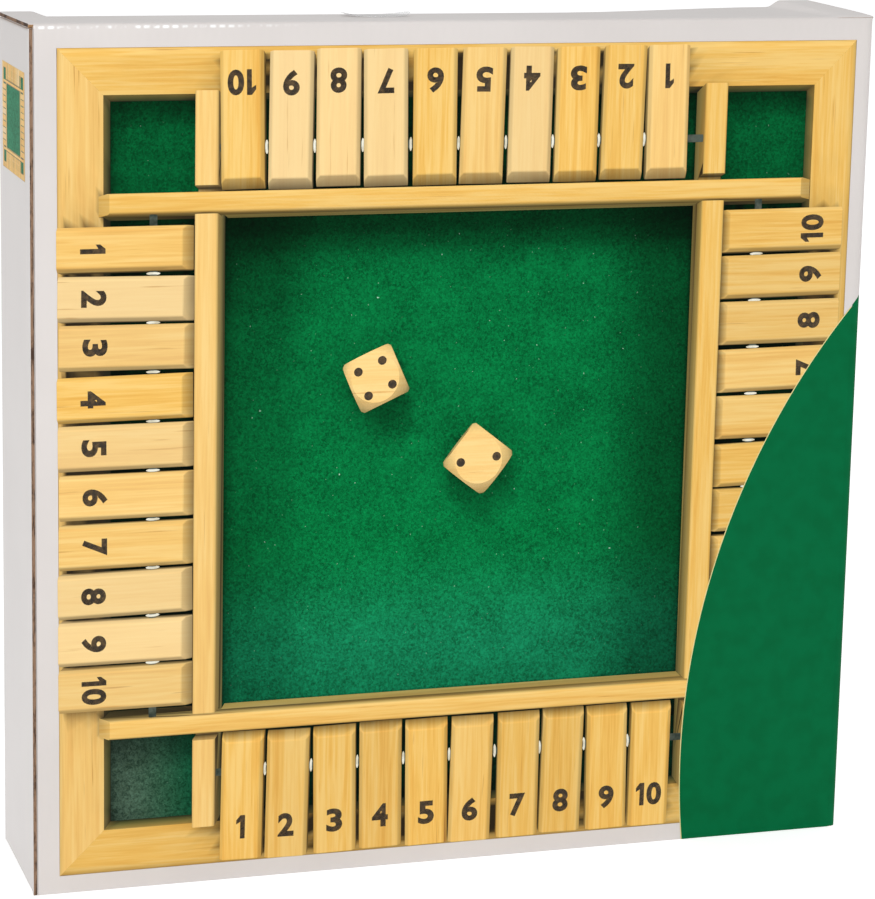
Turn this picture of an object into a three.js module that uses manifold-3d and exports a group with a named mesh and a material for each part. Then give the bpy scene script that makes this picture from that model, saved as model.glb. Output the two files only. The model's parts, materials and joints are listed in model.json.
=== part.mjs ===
// A boxed shut the box game: a corrugated carton that stands on edge, with a wooden
// four-sided number tile board and two dice inside it.
// Millimetres, +Z up. X runs along the front, +Y to the back. The origin is the middle of the
// carton's footprint.
import * as THREE from 'three';
import { RoundedBoxGeometry } from 'three/addons/geometries/RoundedBoxGeometry.js';
import { mergeVertices } from 'three/addons/utils/BufferGeometryUtils.js';
import Module from 'manifold-3d';

const wasm = await Module();
wasm.setup();

// Carton
const sideRoom = 4.4; // between the game and the carton's side walls
const topRoom = 5.6; // between the game and the carton's top wall
const lidRoom = 1.6; // left between a turning tile and the lid
const board = 1.6; // corrugated board's thickness
const foldGap = 0.3; // between two boards that meet at a fold
const flapShort = 1.5; // the lid flap ends this far from the carton's back

// Leaflet
const leafletWidth = 148;
const leafletHeight = 210;
const leafletThickness = 0.6;

// Board game: heights are counted from its back, towards the carton's lid
const gameCornerRadius = 9;
const seatGap = 0.3; // between two pieces that rest on each other
const railWidth = 19.5;
const railHeight = 16.2;
const railEdgeRadius = 4;
const baseThickness = 3;
const rebateDepth = 8;
const feltThickness = 0.8;
const recessSide = 36.5; // square recess in each corner
const innerRailWidth = 10;
const innerRailEdge = 1.5; // bevel along the top edges
const innerRailEndSlope = 6; // how far the cross rails' ends slope in
const tileInnerGap = 2; // between the tiles' inner ends and the inner rail
const tileThickness = 8;
const tilePitch = 18.6;
const tileGap = 0.9; // between neighbouring tiles
const tilesPerSide = 10;
const tileEdge = 1.2; // rounded long edges
const tileBevel = 5; // slope at the inner end
const tileHeel = 3; // rounded lower corner at the inner end, which swings clear of the felt
const rodRadius = 1.5;
const rodClearance = 0.4; // round the rod, in its tiles and in the rails
const tileSwingGap = 0.4; // between the felt and a turning tile's inner end
const rodSeat = 7; // depth of the rod's holes in the rails
const rodEndGap = 0.3;
const dieSize = 20;
const dieRadius = 3;

// Smoothness
const roundSteps = 5;
const boreSides = 12;
const rodSides = 12;
const dieSegments = 3;
const overrun = 1; // how far a cutting solid passes the face that it cuts
const mergeDistance = 0.0001; // corners closer than this are one

// Heights and places that follow from these sizes
const rodHeight = railHeight + seatGap + tileThickness / 2;
const feltTop = baseThickness + seatGap + feltThickness;
const innerRailTop = railHeight + seatGap + tileThickness;
const wellSide = tilesPerSide * tilePitch;
const innerSide = wellSide + 2 * (innerRailWidth + recessSide);
const gameSide = innerSide + 2 * railWidth;
const tileLength = railWidth + recessSide - tileInnerGap;
const rodFromInnerEnd = rodHeight - feltTop - tileSwingGap;
const innerRailOffset = wellSide / 2 + innerRailWidth / 2;
const tileMiddle = (gameSide - tileLength) / 2;
const rodOffset = gameSide / 2 - tileLength + rodFromInnerEnd;
const swingTop = rodHeight + tileLength - rodFromInnerEnd;
const cartonWidth = gameSide + 2 * (sideRoom + board);
const cartonHeight = 3 * board + foldGap + topRoom + gameSide + seatGap;
const cartonDepth = 2 * (board + seatGap) + leafletThickness + swingTop + lidRoom;
const gameBackY = cartonDepth / 2 - board - seatGap - leafletThickness - seatGap;
const gameMiddleZ = board + seatGap + gameSide / 2;

const looks = {
  carton: [0xe2dcdd, 0.75],
  paper: [0xf2f0ec, 0.8],
  wood: [0xeeb854, 0.5],
  paleWood: [0xf6d082, 0.5],
  felt: [0x005a2d, 1],
  steel: [0xb8babd, 0.3],
};

function material(name) {
  const [color, roughness] = looks[name];
  return new THREE.MeshStandardMaterial({ color, roughness, metalness: name === 'steel' ? 1 : 0 });
}

// Booleans

function toSolid(geometry) {
  const bare = geometry.clone();
  bare.deleteAttribute('normal');
  bare.deleteAttribute('uv');
  const merged = mergeVertices(bare, mergeDistance);
  return new wasm.Manifold(new wasm.Mesh({
    numProp: 3,
    vertProperties: new Float32Array(merged.attributes.position.array),
    triVerts: new Uint32Array(merged.index.array),
  }));
}

function toGeometry(solid) {
  const mesh = solid.getMesh();
  const geometry = new THREE.BufferGeometry();
  geometry.setAttribute('position', new THREE.BufferAttribute(mesh.vertProperties, 3));
  geometry.setIndex(new THREE.BufferAttribute(mesh.triVerts, 1));
  geometry.computeVertexNormals();
  return geometry;
}

// Shapes

/** A box between two corners. */
function boxBetween(low, high) {
  const size = high.map((value, i) => value - low[i]);
  const geometry = new THREE.BoxGeometry(...size);
  return geometry.translate(...low.map((value, i) => value + size[i] / 2));
}

/** A closed outline of straight runs through the given points. */
function outline(points) {
  return new THREE.Shape(points.map(([x, y]) => new THREE.Vector2(x, y)));
}

/** A rectangle's outline with rounded corners, its middle at zero. */
function roundedRectangle(width, height, radius) {
  const [x, y] = [width / 2, height / 2];
  const shape = new THREE.Shape();
  shape.moveTo(radius - x, -y);
  shape.absarc(x - radius, radius - y, radius, -Math.PI / 2, 0, false);
  shape.absarc(x - radius, y - radius, radius, 0, Math.PI / 2, false);
  shape.absarc(radius - x, y - radius, radius, Math.PI / 2, Math.PI, false);
  shape.absarc(radius - x, radius - y, radius, Math.PI, 1.5 * Math.PI, false);
  return shape;
}

/** An outline in Y and Z, extruded along X with its middle at zero. */
function extrudeAlongX(shape, length, curveSegments = roundSteps) {
  const geometry = new THREE.ExtrudeGeometry(shape, { depth: length, bevelEnabled: false, curveSegments });
  return geometry.translate(0, 0, -length / 2).rotateZ(Math.PI / 2).rotateY(Math.PI / 2);
}

/** A round bar along X, its middle at zero. */
function barAlongX(radius, length, sides) {
  return new THREE.CylinderGeometry(radius, radius, length, sides).rotateZ(Math.PI / 2);
}

const boreRadius = (rodRadius + rodClearance) / Math.cos(Math.PI / boreSides);

// Carton

/** The tray: the carton's back and four walls, open to the front. */
function cartonTray() {
  const frontY = -cartonDepth / 2 + board + foldGap;
  const topZ = cartonHeight - board - foldGap;
  const shell = toSolid(boxBetween([-cartonWidth / 2, frontY, 0], [cartonWidth / 2, cartonDepth / 2, topZ]));
  const hollow = toSolid(boxBetween(
    [-cartonWidth / 2 + board, frontY - overrun, board],
    [cartonWidth / 2 - board, cartonDepth / 2 - board, topZ - board],
  ));
  return toGeometry(shell.subtract(hollow));
}

/** The front panel, mitred along its top for the fold to the flap. */
function cartonLid() {
  const frontY = -cartonDepth / 2;
  const mitre = cartonHeight - foldGap;
  return extrudeAlongX(outline([
    [frontY, 0],
    [frontY + board, 0],
    [frontY + board, mitre - board],
    [frontY, mitre],
  ]), cartonWidth);
}

/** The flap that folds back over the top. */
function cartonLidFlap() {
  const frontY = -cartonDepth / 2 + foldGap;
  const backY = cartonDepth / 2 - flapShort;
  return extrudeAlongX(outline([
    [frontY, cartonHeight],
    [frontY + board, cartonHeight - board],
    [backY, cartonHeight - board],
    [backY, cartonHeight],
  ]), cartonWidth);
}

function rulesLeaflet() {
  const backY = cartonDepth / 2 - board - seatGap;
  const lowZ = board + seatGap;
  return boxBetween(
    [-leafletWidth / 2, backY - leafletThickness, lowZ],
    [leafletWidth / 2, backY, lowZ + leafletHeight],
  );
}

// Board game, lying flat: its back is at z = 0 and its face looks up

/** The game's outer shape from above, which trims the frame rails' corners. */
function frameOutlineSolid() {
  const shape = roundedRectangle(gameSide, gameSide, gameCornerRadius);
  const options = { depth: railHeight + 2 * overrun, bevelEnabled: false, curveSegments: roundSteps };
  return toSolid(new THREE.ExtrudeGeometry(shape, options).translate(0, 0, -overrun));
}

/** One frame rail along X on the -Y side, mitred at both ends and rebated for the base board. */
function frameRail() {
  const outer = -gameSide / 2;
  const inner = outer + railWidth;
  const rebate = baseThickness + seatGap;
  const shape = new THREE.Shape();
  shape.moveTo(outer, 0);
  shape.lineTo(inner - rebateDepth, 0);
  shape.lineTo(inner - rebateDepth, rebate);
  shape.lineTo(inner, rebate);
  shape.lineTo(inner, railHeight);
  shape.lineTo(outer + railEdgeRadius, railHeight);
  shape.absarc(outer + railEdgeRadius, railHeight - railEdgeRadius, railEdgeRadius, Math.PI / 2, Math.PI, false);
  const geometry = extrudeAlongX(shape, 1);
  const position = geometry.attributes.position;
  const mitreGap = seatGap / Math.SQRT2;
  for (let i = 0; i < position.count; i += 1) {
    position.setX(i, 2 * position.getX(i) * (-position.getY(i) - mitreGap));
  }
  return toGeometry(toSolid(geometry).intersect(frameOutlineSolid()));
}

function baseBoard() {
  const half = innerSide / 2 + rebateDepth - seatGap;
  return boxBetween([-half, -half, 0], [half, half, baseThickness]);
}

function feltSheet() {
  const half = innerSide / 2 - seatGap;
  return boxBetween([-half, -half, baseThickness + seatGap], [half, half, feltTop]);
}

/** An inner rail along X: bevelled along the top, with sloped ends and a notch at each crossing. */
function innerRail(notchLow, notchHigh, rodHoles, sloped) {
  const low = feltTop + seatGap;
  const [half, top, bevel] = [innerRailWidth / 2, innerRailTop, innerRailEdge];
  const length = innerSide - 2 * seatGap;
  let solid = toSolid(extrudeAlongX(outline([
    [-half, low],
    [half, low],
    [half, top - bevel],
    [half - bevel, top],
    [bevel - half, top],
    [-half, top - bevel],
  ]), length));
  for (const side of [-1, 1]) {
    const notch = innerRailWidth / 2 + seatGap;
    const x = side * innerRailOffset;
    solid = solid.subtract(toSolid(boxBetween(
      [x - notch, -half - overrun, notchLow],
      [x + notch, half + overrun, notchHigh],
    )));
    if (sloped) {
      const end = side * length / 2;
      const wedge = outline([
        [end + side * overrun, railHeight],
        [end, railHeight],
        [end - side * innerRailEndSlope, top],
        [end - side * innerRailEndSlope, top + overrun],
        [end + side * overrun, top + overrun],
      ]);
      const options = { depth: innerRailWidth + 2 * overrun, bevelEnabled: false };
      const cutter = new THREE.ExtrudeGeometry(wedge, options).translate(0, 0, -half - overrun);
      solid = solid.subtract(toSolid(cutter.rotateX(Math.PI / 2)));
    }
    for (const hole of rodHoles) {
      // Blind holes across the rail: from its well side, where the row's rod enters
      const bore = new THREE.CylinderGeometry(boreRadius, boreRadius, rodSeat + overrun, boreSides);
      bore.translate(side * hole, innerRailWidth / 2 - (rodSeat - overrun) / 2, rodHeight);
      solid = solid.subtract(toSolid(bore));
    }
  }
  return toGeometry(solid);
}

const lapHeight = (feltTop + seatGap + innerRailTop) / 2;

/** The rail below or above the well, its lower half notched where a side rail passes under it. */
function crossRail() {
  return innerRail(feltTop, lapHeight + seatGap / 2, [rodOffset], true);
}

/** The rail at the well's left or right, its upper half notched where a cross rail passes over it. */
function sideRail() {
  return innerRail(lapHeight - seatGap / 2, innerRailTop + overrun, [rodOffset], false);
}

function rod() {
  const length = wellSide + 2 * (rodSeat - rodEndGap);
  return barAlongX(rodRadius, length, rodSides).translate(0, -rodOffset, rodHeight);
}

/** One tile on the -Y side of the game, with its rod hole across it and its inner end sloped. */
function tile() {
  const [outer, inner] = [-tileLength / 2, tileLength / 2];
  const half = tileThickness / 2;
  const [edge, slope] = [tileEdge, tileBevel];
  const shape = new THREE.Shape();
  shape.moveTo(outer, edge - half);
  shape.lineTo(outer + edge, -half);
  shape.lineTo(inner - tileHeel, -half);
  shape.absarc(inner - tileHeel, tileHeel - half, tileHeel, -Math.PI / 2, 0, false);
  shape.lineTo(inner, half - slope);
  shape.lineTo(inner - slope, half);
  shape.lineTo(outer + edge, half);
  shape.lineTo(outer, half - edge);
  const bore = new THREE.Path();
  bore.absarc(inner - rodFromInnerEnd, 0, boreRadius, 0, 2 * Math.PI, true);
  shape.holes.push(bore);
  const geometry = extrudeAlongX(shape, tilePitch - tileGap, boreSides / 2);
  return geometry.translate(0, -tileMiddle, rodHeight);
}

function die() {
  return new RoundedBoxGeometry(dieSize, dieSize, dieSize, dieSegments, dieRadius);
}

// Scene graph

const model = new THREE.Group();

function addPiece(parent, name, geometry, look) {
  const mesh = new THREE.Mesh(geometry, material(look));
  mesh.name = name;
  parent.add(mesh);
  return mesh;
}

addPiece(model, 'carton_tray', cartonTray(), 'carton');
addPiece(model, 'carton_lid', cartonLid(), 'carton');
addPiece(model, 'carton_lid_flap', cartonLidFlap(), 'carton');
addPiece(model, 'rules_leaflet', rulesLeaflet(), 'paper');

// The game stands on its lower side: its face looks to -Y and its upper side to +Z
const game = new THREE.Group();
game.rotation.x = Math.PI / 2;
game.position.set(0, gameBackY, gameMiddleZ);
model.add(game);

addPiece(game, 'base_board', baseBoard(), 'paleWood');
addPiece(game, 'felt_sheet', feltSheet(), 'felt');

const sides = ['bottom', 'right', 'top', 'left'];
const railGeometry = frameRail();
const tileGeometry = tile();
const rodGeometry = rod();
sides.forEach((side, turn) => {
  const group = new THREE.Group();
  group.rotation.z = turn * Math.PI / 2;
  game.add(group);
  addPiece(group, `frame_rail_${side}`, railGeometry, 'wood');
  addPiece(group, `rod_${side}`, rodGeometry, 'steel');
  for (let i = 0; i < tilesPerSide; i += 1) {
    const piece = addPiece(group, `tile_${side}_${i + 1}`, tileGeometry, 'paleWood');
    piece.position.x = (i - (tilesPerSide - 1) / 2) * tilePitch;
  }
});

// The cross rails run along X and hold the left and right rods, the side rails run along Y
const crossRailGeometry = crossRail();
const sideRailGeometry = sideRail();
for (const [name, geometry, turn] of [
  ['cross_rail_lower', crossRailGeometry, 0],
  ['side_rail_right', sideRailGeometry, 1],
  ['cross_rail_upper', crossRailGeometry, 2],
  ['side_rail_left', sideRailGeometry, 3],
]) {
  const group = new THREE.Group();
  group.rotation.z = turn * Math.PI / 2;
  game.add(group);
  addPiece(group, name, geometry, 'wood').position.y = -innerRailOffset;
}

// The dice lie in the lower corner recesses, on the felt and against the lower frame rail
const dieHeight = feltTop + seatGap + dieSize / 2;
const dieY = -innerSide / 2 + seatGap + dieSize / 2;
const recessMiddle = (innerSide - recessSide) / 2;
for (const [name, side] of [['die_a', -1], ['die_b', 1]]) {
  const piece = addPiece(game, name, die(), 'paleWood');
  piece.position.set(side * recessMiddle, dieY, dieHeight);
}

export default model;
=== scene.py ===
"""Looks of a boxed shut the box game: a printed carton on edge, with the wooden game inside it."""

import json
import logging
import math
import random
from collections.abc import Callable, Iterable
from dataclasses import dataclass, field
from enum import Enum

import bmesh
import bpy
from mathutils import Matrix, Vector
from mathutils.bvhtree import BVHTree

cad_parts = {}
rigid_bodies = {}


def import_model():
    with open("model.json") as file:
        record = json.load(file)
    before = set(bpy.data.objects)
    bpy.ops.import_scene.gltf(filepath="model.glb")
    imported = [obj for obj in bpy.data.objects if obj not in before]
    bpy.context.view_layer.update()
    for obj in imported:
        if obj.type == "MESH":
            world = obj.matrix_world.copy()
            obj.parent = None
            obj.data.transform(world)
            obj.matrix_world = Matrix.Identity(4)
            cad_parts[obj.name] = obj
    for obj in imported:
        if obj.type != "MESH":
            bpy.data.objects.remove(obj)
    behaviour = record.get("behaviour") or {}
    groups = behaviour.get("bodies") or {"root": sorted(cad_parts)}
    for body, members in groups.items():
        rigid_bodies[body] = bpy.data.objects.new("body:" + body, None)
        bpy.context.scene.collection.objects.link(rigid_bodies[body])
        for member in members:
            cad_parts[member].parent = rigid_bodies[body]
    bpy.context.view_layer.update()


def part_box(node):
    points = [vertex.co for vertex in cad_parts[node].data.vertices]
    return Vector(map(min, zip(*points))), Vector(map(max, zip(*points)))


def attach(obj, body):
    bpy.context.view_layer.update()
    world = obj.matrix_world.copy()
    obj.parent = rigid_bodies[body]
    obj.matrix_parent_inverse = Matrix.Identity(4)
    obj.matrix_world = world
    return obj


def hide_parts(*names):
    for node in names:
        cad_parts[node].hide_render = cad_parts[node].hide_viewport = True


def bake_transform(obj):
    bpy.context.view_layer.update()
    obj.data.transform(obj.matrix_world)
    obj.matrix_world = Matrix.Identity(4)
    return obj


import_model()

LOG = logging.getLogger("boxed_game")
MM = 0.001
SIDES = ("bottom", "right", "top", "left")
TILES = 10
TONE = "tone"
WHITE = (1.0, 1.0, 1.0, 1.0)

Piece = bpy.types.Object
Material = bpy.types.Material
Socket = bpy.types.NodeSocket
Color = tuple[float, float, float, float]
Pick = Callable[[Vector, Vector], bool]


class Axis(Enum):
    """A direction of the object that grain, flutes or cuts follow."""

    X = 0
    Y = 1
    Z = 2

    def unit(self) -> Vector:
        """Returns the axis as a vector of length 1."""
        return Vector([float(self.value == index) for index in range(3)])


def srgb(*channels: int) -> Color:
    """Turns a screen colour into the linear colour that a shader takes.

    Args:
        *channels: Red, green and blue from 0 to 255.

    Returns:
        The linear colour with an alpha of 1.
    """
    shares = [channel / 255 for channel in channels]
    return (*(one / 12.92 if one <= 0.04045 else ((one + 0.055) / 1.055) ** 2.4 for one in shares), 1.0)


def rise(share: float) -> float:
    """Returns a soft step from 0 to 1 as the share goes from 0 to 1."""
    share = min(max(share, 0.0), 1.0)
    return share * share * (3 - 2 * share)


def shifted(*place: float) -> Matrix:
    """Returns a move by X, Y and Z."""
    return Matrix.Translation(place)


def turned(degrees: float, axis: str) -> Matrix:
    """Returns a turn about X, Y or Z."""
    return Matrix.Rotation(math.radians(degrees), 4, axis)


# Node building


class Shader:
    """Builds one material's nodes, with a Principled shader at the end."""

    def __init__(self, name: str, **inputs: object) -> None:
        """Starts a material.

        Args:
            name: The material's name.
            **inputs: Values of the Principled shader's sockets, whose names have _ for each space.
        """
        self.material = bpy.data.materials.new(name)
        self.material.use_nodes = True
        self.tree = self.material.node_tree
        self.shader = self.tree.nodes["Principled BSDF"]
        for socket, value in inputs.items():
            self.shader.inputs[socket.replace("_", " ")].default_value = value

    def node(self, kind: str, **values: object) -> bpy.types.Node:
        """Adds a node and sets its properties.

        Args:
            kind: The end of the node's type name.
            **values: Properties of the node, by name.

        Returns:
            The new node.
        """
        node = self.tree.nodes.new(f"ShaderNode{kind}")
        for name, value in values.items():
            setattr(node, name, value)
        return node

    def feed(self, value: object, target: Socket) -> None:
        """Joins a socket to an input, or sets the input to a plain value.

        Args:
            value: A socket or a plain value.
            target: The input.
        """
        if isinstance(value, Socket):
            self.tree.links.new(value, target)
        else:
            target.default_value = value

    def mapped(self, scale: tuple[float, float, float]) -> Socket:
        """Returns the Object coordinates, scaled by repeats per metre.

        Args:
            scale: The repeats along X, Y and Z.

        Returns:
            The scaled coordinates.
        """
        mapping = self.node("Mapping")
        mapping.inputs["Scale"].default_value = scale
        self.feed(self.node("TexCoord").outputs["Object"], mapping.inputs["Vector"])
        return mapping.outputs["Vector"]

    def split(self) -> bpy.types.NodeOutputs:
        """Returns the Object coordinates X, Y and Z as values."""
        split = self.node("SeparateXYZ")
        self.feed(self.node("TexCoord").outputs["Object"], split.inputs[0])
        return split.outputs

    def noise(self, scale: object, detail: float, bend: float = 0.0, place: Socket | None = None) -> Socket:
        """Adds a noise texture.

        Args:
            scale: The repeats along X, Y and Z, or one number.
            detail: The noise's detail.
            bend: How much the noise distorts itself.
            place: Where the noise is read, or None for the Object coordinates.

        Returns:
            The noise's value.
        """
        noise = self.node("TexNoise")
        if place is None:
            place = self.mapped(scale if isinstance(scale, tuple) else (scale,) * 3)
            scale = 1.0
        for name, value in (("Scale", scale), ("Detail", detail), ("Distortion", bend), ("Vector", place)):
            self.feed(value, noise.inputs[name])
        return noise.outputs["Fac"]

    def ramp(self, value: Socket, low: float, shade: Color, high: float, base: Color, *more: object) -> Socket:
        """Adds a colour ramp.

        Args:
            value: The value to colour.
            low: Where the first colour stands.
            shade: The first colour.
            high: Where the second colour stands.
            base: The second colour.
            *more: The place and the colour of a third stop.

        Returns:
            The colour.
        """
        ramp = self.node("ValToRGB")
        elements = ramp.color_ramp.elements
        if more:
            elements.new(more[0])
        for element, (place, color) in zip(elements, ((low, shade), (high, base), more)):
            element.position = place
            element.color = color
        self.feed(value, ramp.inputs["Fac"])
        return ramp.outputs["Color"]

    def math(self, operation: str, first: object, second: object = 0.0, clamp: bool = False) -> Socket:
        """Adds a math node.

        Args:
            operation: The math node's operation.
            first: A number or a socket.
            second: A number or a socket.
            clamp: Whether the result stays between 0 and 1.

        Returns:
            The value.
        """
        node = self.node("Math", operation=operation, use_clamp=clamp)
        self.feed(first, node.inputs[0])
        self.feed(second, node.inputs[1])
        return node.outputs[0]

    def times(self, first: object, second: object, clamp: bool = False) -> Socket:
        """Returns the product of two values."""
        return self.math("MULTIPLY", first, second, clamp)

    def weigh(self, first: Socket, share: float, second: Socket, rest: float) -> Socket:
        """Returns a share of one value plus a share of another."""
        return self.math("ADD", self.times(first, share), self.times(second, rest))

    def window(self, value: Socket, start: float, gain: float) -> Socket:
        """Returns how far a value is past a start, times a gain, from 0 to 1."""
        return self.times(self.math("SUBTRACT", value, start), gain, clamp=True)

    def mix(self, factor: Socket, first: object, second: object) -> Socket:
        """Mixes two colours or colour sockets.

        Args:
            factor: 0 gives the first and 1 the second.
            first: The first colour.
            second: The second colour.

        Returns:
            The mixed colour.
        """
        node = self.node("Mix", data_type="RGBA")
        self.feed(factor, node.inputs["Factor"])
        for name, value in (("A", first), ("B", second)):
            self.feed(value, next(one for one in node.inputs if one.name == name and one.type == "RGBA"))
        return next(one for one in node.outputs if one.type == "RGBA")

    def bump(self, height: Socket, strength: float, distance: float) -> None:
        """Bends the surface's shading by a height.

        Args:
            height: The height's value.
            strength: The bump's strength.
            distance: The bump's distance in metres.
        """
        bump = self.node("Bump")
        for name, value in (("Strength", strength), ("Distance", distance), ("Height", height)):
            self.feed(value, bump.inputs[name])
        self.feed(bump.outputs["Normal"], self.shader.inputs["Normal"])

    def marks(self) -> list[Socket]:
        """Reads a piece's four marks. The first is its light, and its finish says what the others are."""
        marks = self.node("Attribute", attribute_name=TONE)
        parts = self.node("SeparateColor")
        self.feed(marks.outputs["Color"], parts.inputs["Color"])
        return [*(parts.outputs[name] for name in ("Red", "Green", "Blue")), marks.outputs["Alpha"]]

    def paint(self, color: Socket, light: Socket | None = None) -> Material:
        """Gives the shader its colour.

        Args:
            color: The colour.
            light: A value that the colour is multiplied by.

        Returns:
            The finished material.
        """
        if light is not None:
            lit = self.node("VectorMath", operation="SCALE")
            self.feed(color, lit.inputs[0])
            self.feed(light, lit.inputs["Scale"])
            color = lit.outputs[0]
        self.feed(color, self.shader.inputs["Base Color"])
        return self.material


# Finishes


@dataclass(frozen=True)
class WoodFinish:
    """Pale pine under a thin lacquer. Its marks are light, the grain's shift, paleness and green bounce."""

    name: str
    axis: Axis
    dark: Color = srgb(234, 178, 84)
    middle: Color = srgb(243, 194, 101)
    light: Color = srgb(248, 207, 124)
    pale: Color = srgb(250, 221, 166)
    deep: Color = srgb(236, 170, 72)
    bounce: Color = srgb(150, 184, 104)
    fleck: Color = srgb(188, 126, 56)
    roughness: float = 0.42
    specular: float = 0.4
    along: float = 16.0
    across: float = 460.0
    relief: float = 0.12

    def material(self) -> Material:
        """Returns the finish as a material."""
        shader = Shader(self.name, Roughness=self.roughness, Specular_IOR_Level=self.specular)
        light, shift, pale, bounce = shader.marks()
        scale = [self.across] * 3
        scale[self.axis.value] = self.along
        offset = shader.node("CombineXYZ")
        for index in range(3):
            shader.feed(shader.times(shift, 40.0 + 7.0 * index), offset.inputs[index])
        adder = shader.node("VectorMath", operation="ADD")
        shader.feed(shader.mapped(tuple(scale)), adder.inputs[0])
        shader.feed(offset.outputs["Vector"], adder.inputs[1])
        place = adder.outputs[0]
        grain = shader.noise(2.2, 5.0, 0.5, place)
        blend = shader.weigh(grain, 0.5, shader.noise(0.22, 2.0, 1.4, place), 0.5)
        color = shader.ramp(blend, 0.36, self.dark, 0.48, self.middle, 0.6, self.light)
        color = shader.mix(shader.times(pale, 0.8, clamp=True), color, self.pale)
        color = shader.mix(shader.times(pale, -1.0, clamp=True), color, self.deep)
        color = shader.mix(shader.window(shader.noise(1.9, 2.0, 0.2, place), 0.68, 6.0), color, self.fleck)
        color = shader.mix(shader.times(bounce, 1.0, clamp=True), color, self.bounce)
        if self.relief:
            shader.bump(grain, self.relief, 0.2 * MM)
        return shader.paint(color, light)


@dataclass(frozen=True)
class FeltFinish:
    """Short green felt. Its marks are light, coolness and haze."""

    name: str
    low: Color = srgb(0, 60, 32)
    high: Color = srgb(20, 126, 76)
    lint: Color = srgb(170, 210, 186)
    cool: tuple[Color, Color] = (srgb(16, 92, 64), srgb(30, 148, 112))
    haze: tuple[Color, Color] = (srgb(78, 88, 80), srgb(146, 156, 144))
    roughness: float = 0.95
    specular: float = 0.3
    fibres: float = 1100.0
    sheen: float = 0.2
    relief: float = 0.35

    def material(self) -> Material:
        """Returns the finish as a material."""
        shader = Shader(self.name, Roughness=self.roughness, Specular_IOR_Level=self.specular,
                        Sheen_Weight=self.sheen)
        light, cool, haze, _ = shader.marks()
        fine = shader.noise(self.fibres, 4.0, 0.8)
        blend = shader.weigh(fine, 0.78, shader.noise(self.fibres / 14, 3.0), 0.22)
        color = shader.ramp(blend, 0.34, self.low, 0.66, self.high)
        dust = shader.noise(self.fibres * 0.7, 1.0)
        color = shader.mix(shader.window(dust, 0.755, 12.0), color, self.lint)
        for share, (low, high) in ((cool, self.cool), (haze, self.haze)):
            color = shader.mix(share, color, shader.ramp(blend, 0.36, low, 0.64, high))
        if self.relief:
            shader.bump(fine, self.relief, 0.3 * MM)
        return shader.paint(color, light)


@dataclass(frozen=True)
class CoatedBoardFinish:
    """Corrugated board's white printed liner, with the faint washboard that its flutes leave and, where a glint
    height is given, painted highlights along its fold.
    """

    name: str
    base: Color = srgb(219, 213, 210)
    shade: Color = srgb(213, 207, 204)
    glint: Color = srgb(252, 252, 252)
    glint_height: float = 0.0
    glint_spread: float = 0.75 * MM
    glint_end: float = -62.0 * MM
    roughness: float = 0.36
    pitch: float = 3.5 * MM
    relief: float = 0.10

    def material(self) -> Material:
        """Returns the finish as a material. A glint height adds broken painted highlights along the fold, mixed
        white into the base colour.
        """
        shader = Shader(self.name, Roughness=self.roughness)
        across, _, up = shader.split()
        turn = shader.times(across, 2 * math.pi / self.pitch)
        wave = shader.math("SINE", shader.math("ADD", turn, shader.noise((60.0, 60.0, 20.0), 2.0)))
        shader.bump(shader.weigh(wave, 0.5, shader.noise(900.0, 2.0), 0.3), self.relief, 0.1 * MM)
        color = shader.ramp(shader.noise(14.0, 3.0), 0.35, self.shade, 0.65, self.base)
        # Painted highlights: glints along the fold are painted white into the base colour, in dashes that fade
        # toward the right.
        if self.glint_height:
            away = shader.math("ABSOLUTE", shader.math("SUBTRACT", up, self.glint_height))
            band = shader.math("SUBTRACT", 1.0, shader.math("DIVIDE", away, self.glint_spread), clamp=True)
            crest = shader.math("ADD", shader.times(wave, 0.8), 0.75, clamp=True)
            # Noise that breaks the painted highlights into dashes.
            glint_breaks = shader.window(shader.noise(140.0, 3.0), 0.38, 9.0)
            left = shader.window(across, self.glint_end, -22.0)
            shine = shader.times(shader.times(band, crest), shader.times(glint_breaks, left))
            color = shader.mix(shader.times(shine, 1.5, clamp=True), color, self.glint)
        return shader.paint(color)


@dataclass(frozen=True)
class FluteEdgeFinish:
    """The raw cross-cut edge of corrugated board: a paper wave along X between two liners, with painted shade in
    the hollows between them.
    """

    name: str
    low: float
    thickness: float
    pitch: float = 3.2 * MM
    paper: Color = srgb(178, 138, 98)
    # Painted shade: the dark colour of the hollows between the paper wave and the liners.
    gap: Color = srgb(62, 42, 28)

    def material(self) -> Material:
        """Returns the finish as a material."""
        shader = Shader(self.name, Roughness=0.9)
        along, _, up = shader.split()
        wave = shader.times(shader.math("SINE", shader.times(along, 2 * math.pi / self.pitch)), 0.32)
        share = shader.math("DIVIDE", shader.math("SUBTRACT", up, self.low), self.thickness)
        share = shader.math("SUBTRACT", share, 0.5)
        off = shader.math("ABSOLUTE", shader.math("SUBTRACT", share, wave))
        medium = shader.math("LESS_THAN", off, 0.13)
        liner = shader.math("GREATER_THAN", shader.math("ABSOLUTE", share), 0.36)
        # Where neither the wave nor a liner stands, the hollow takes the painted shade.
        return shader.paint(shader.mix(shader.math("MAXIMUM", medium, liner), self.gap, self.paper))


@dataclass(frozen=True)
class Grain:
    """One layer of noise: its repeats per metre, its detail and how much it bends itself."""

    scale: float | tuple[float, float, float]
    detail: float
    bend: float = 0.0


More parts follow.
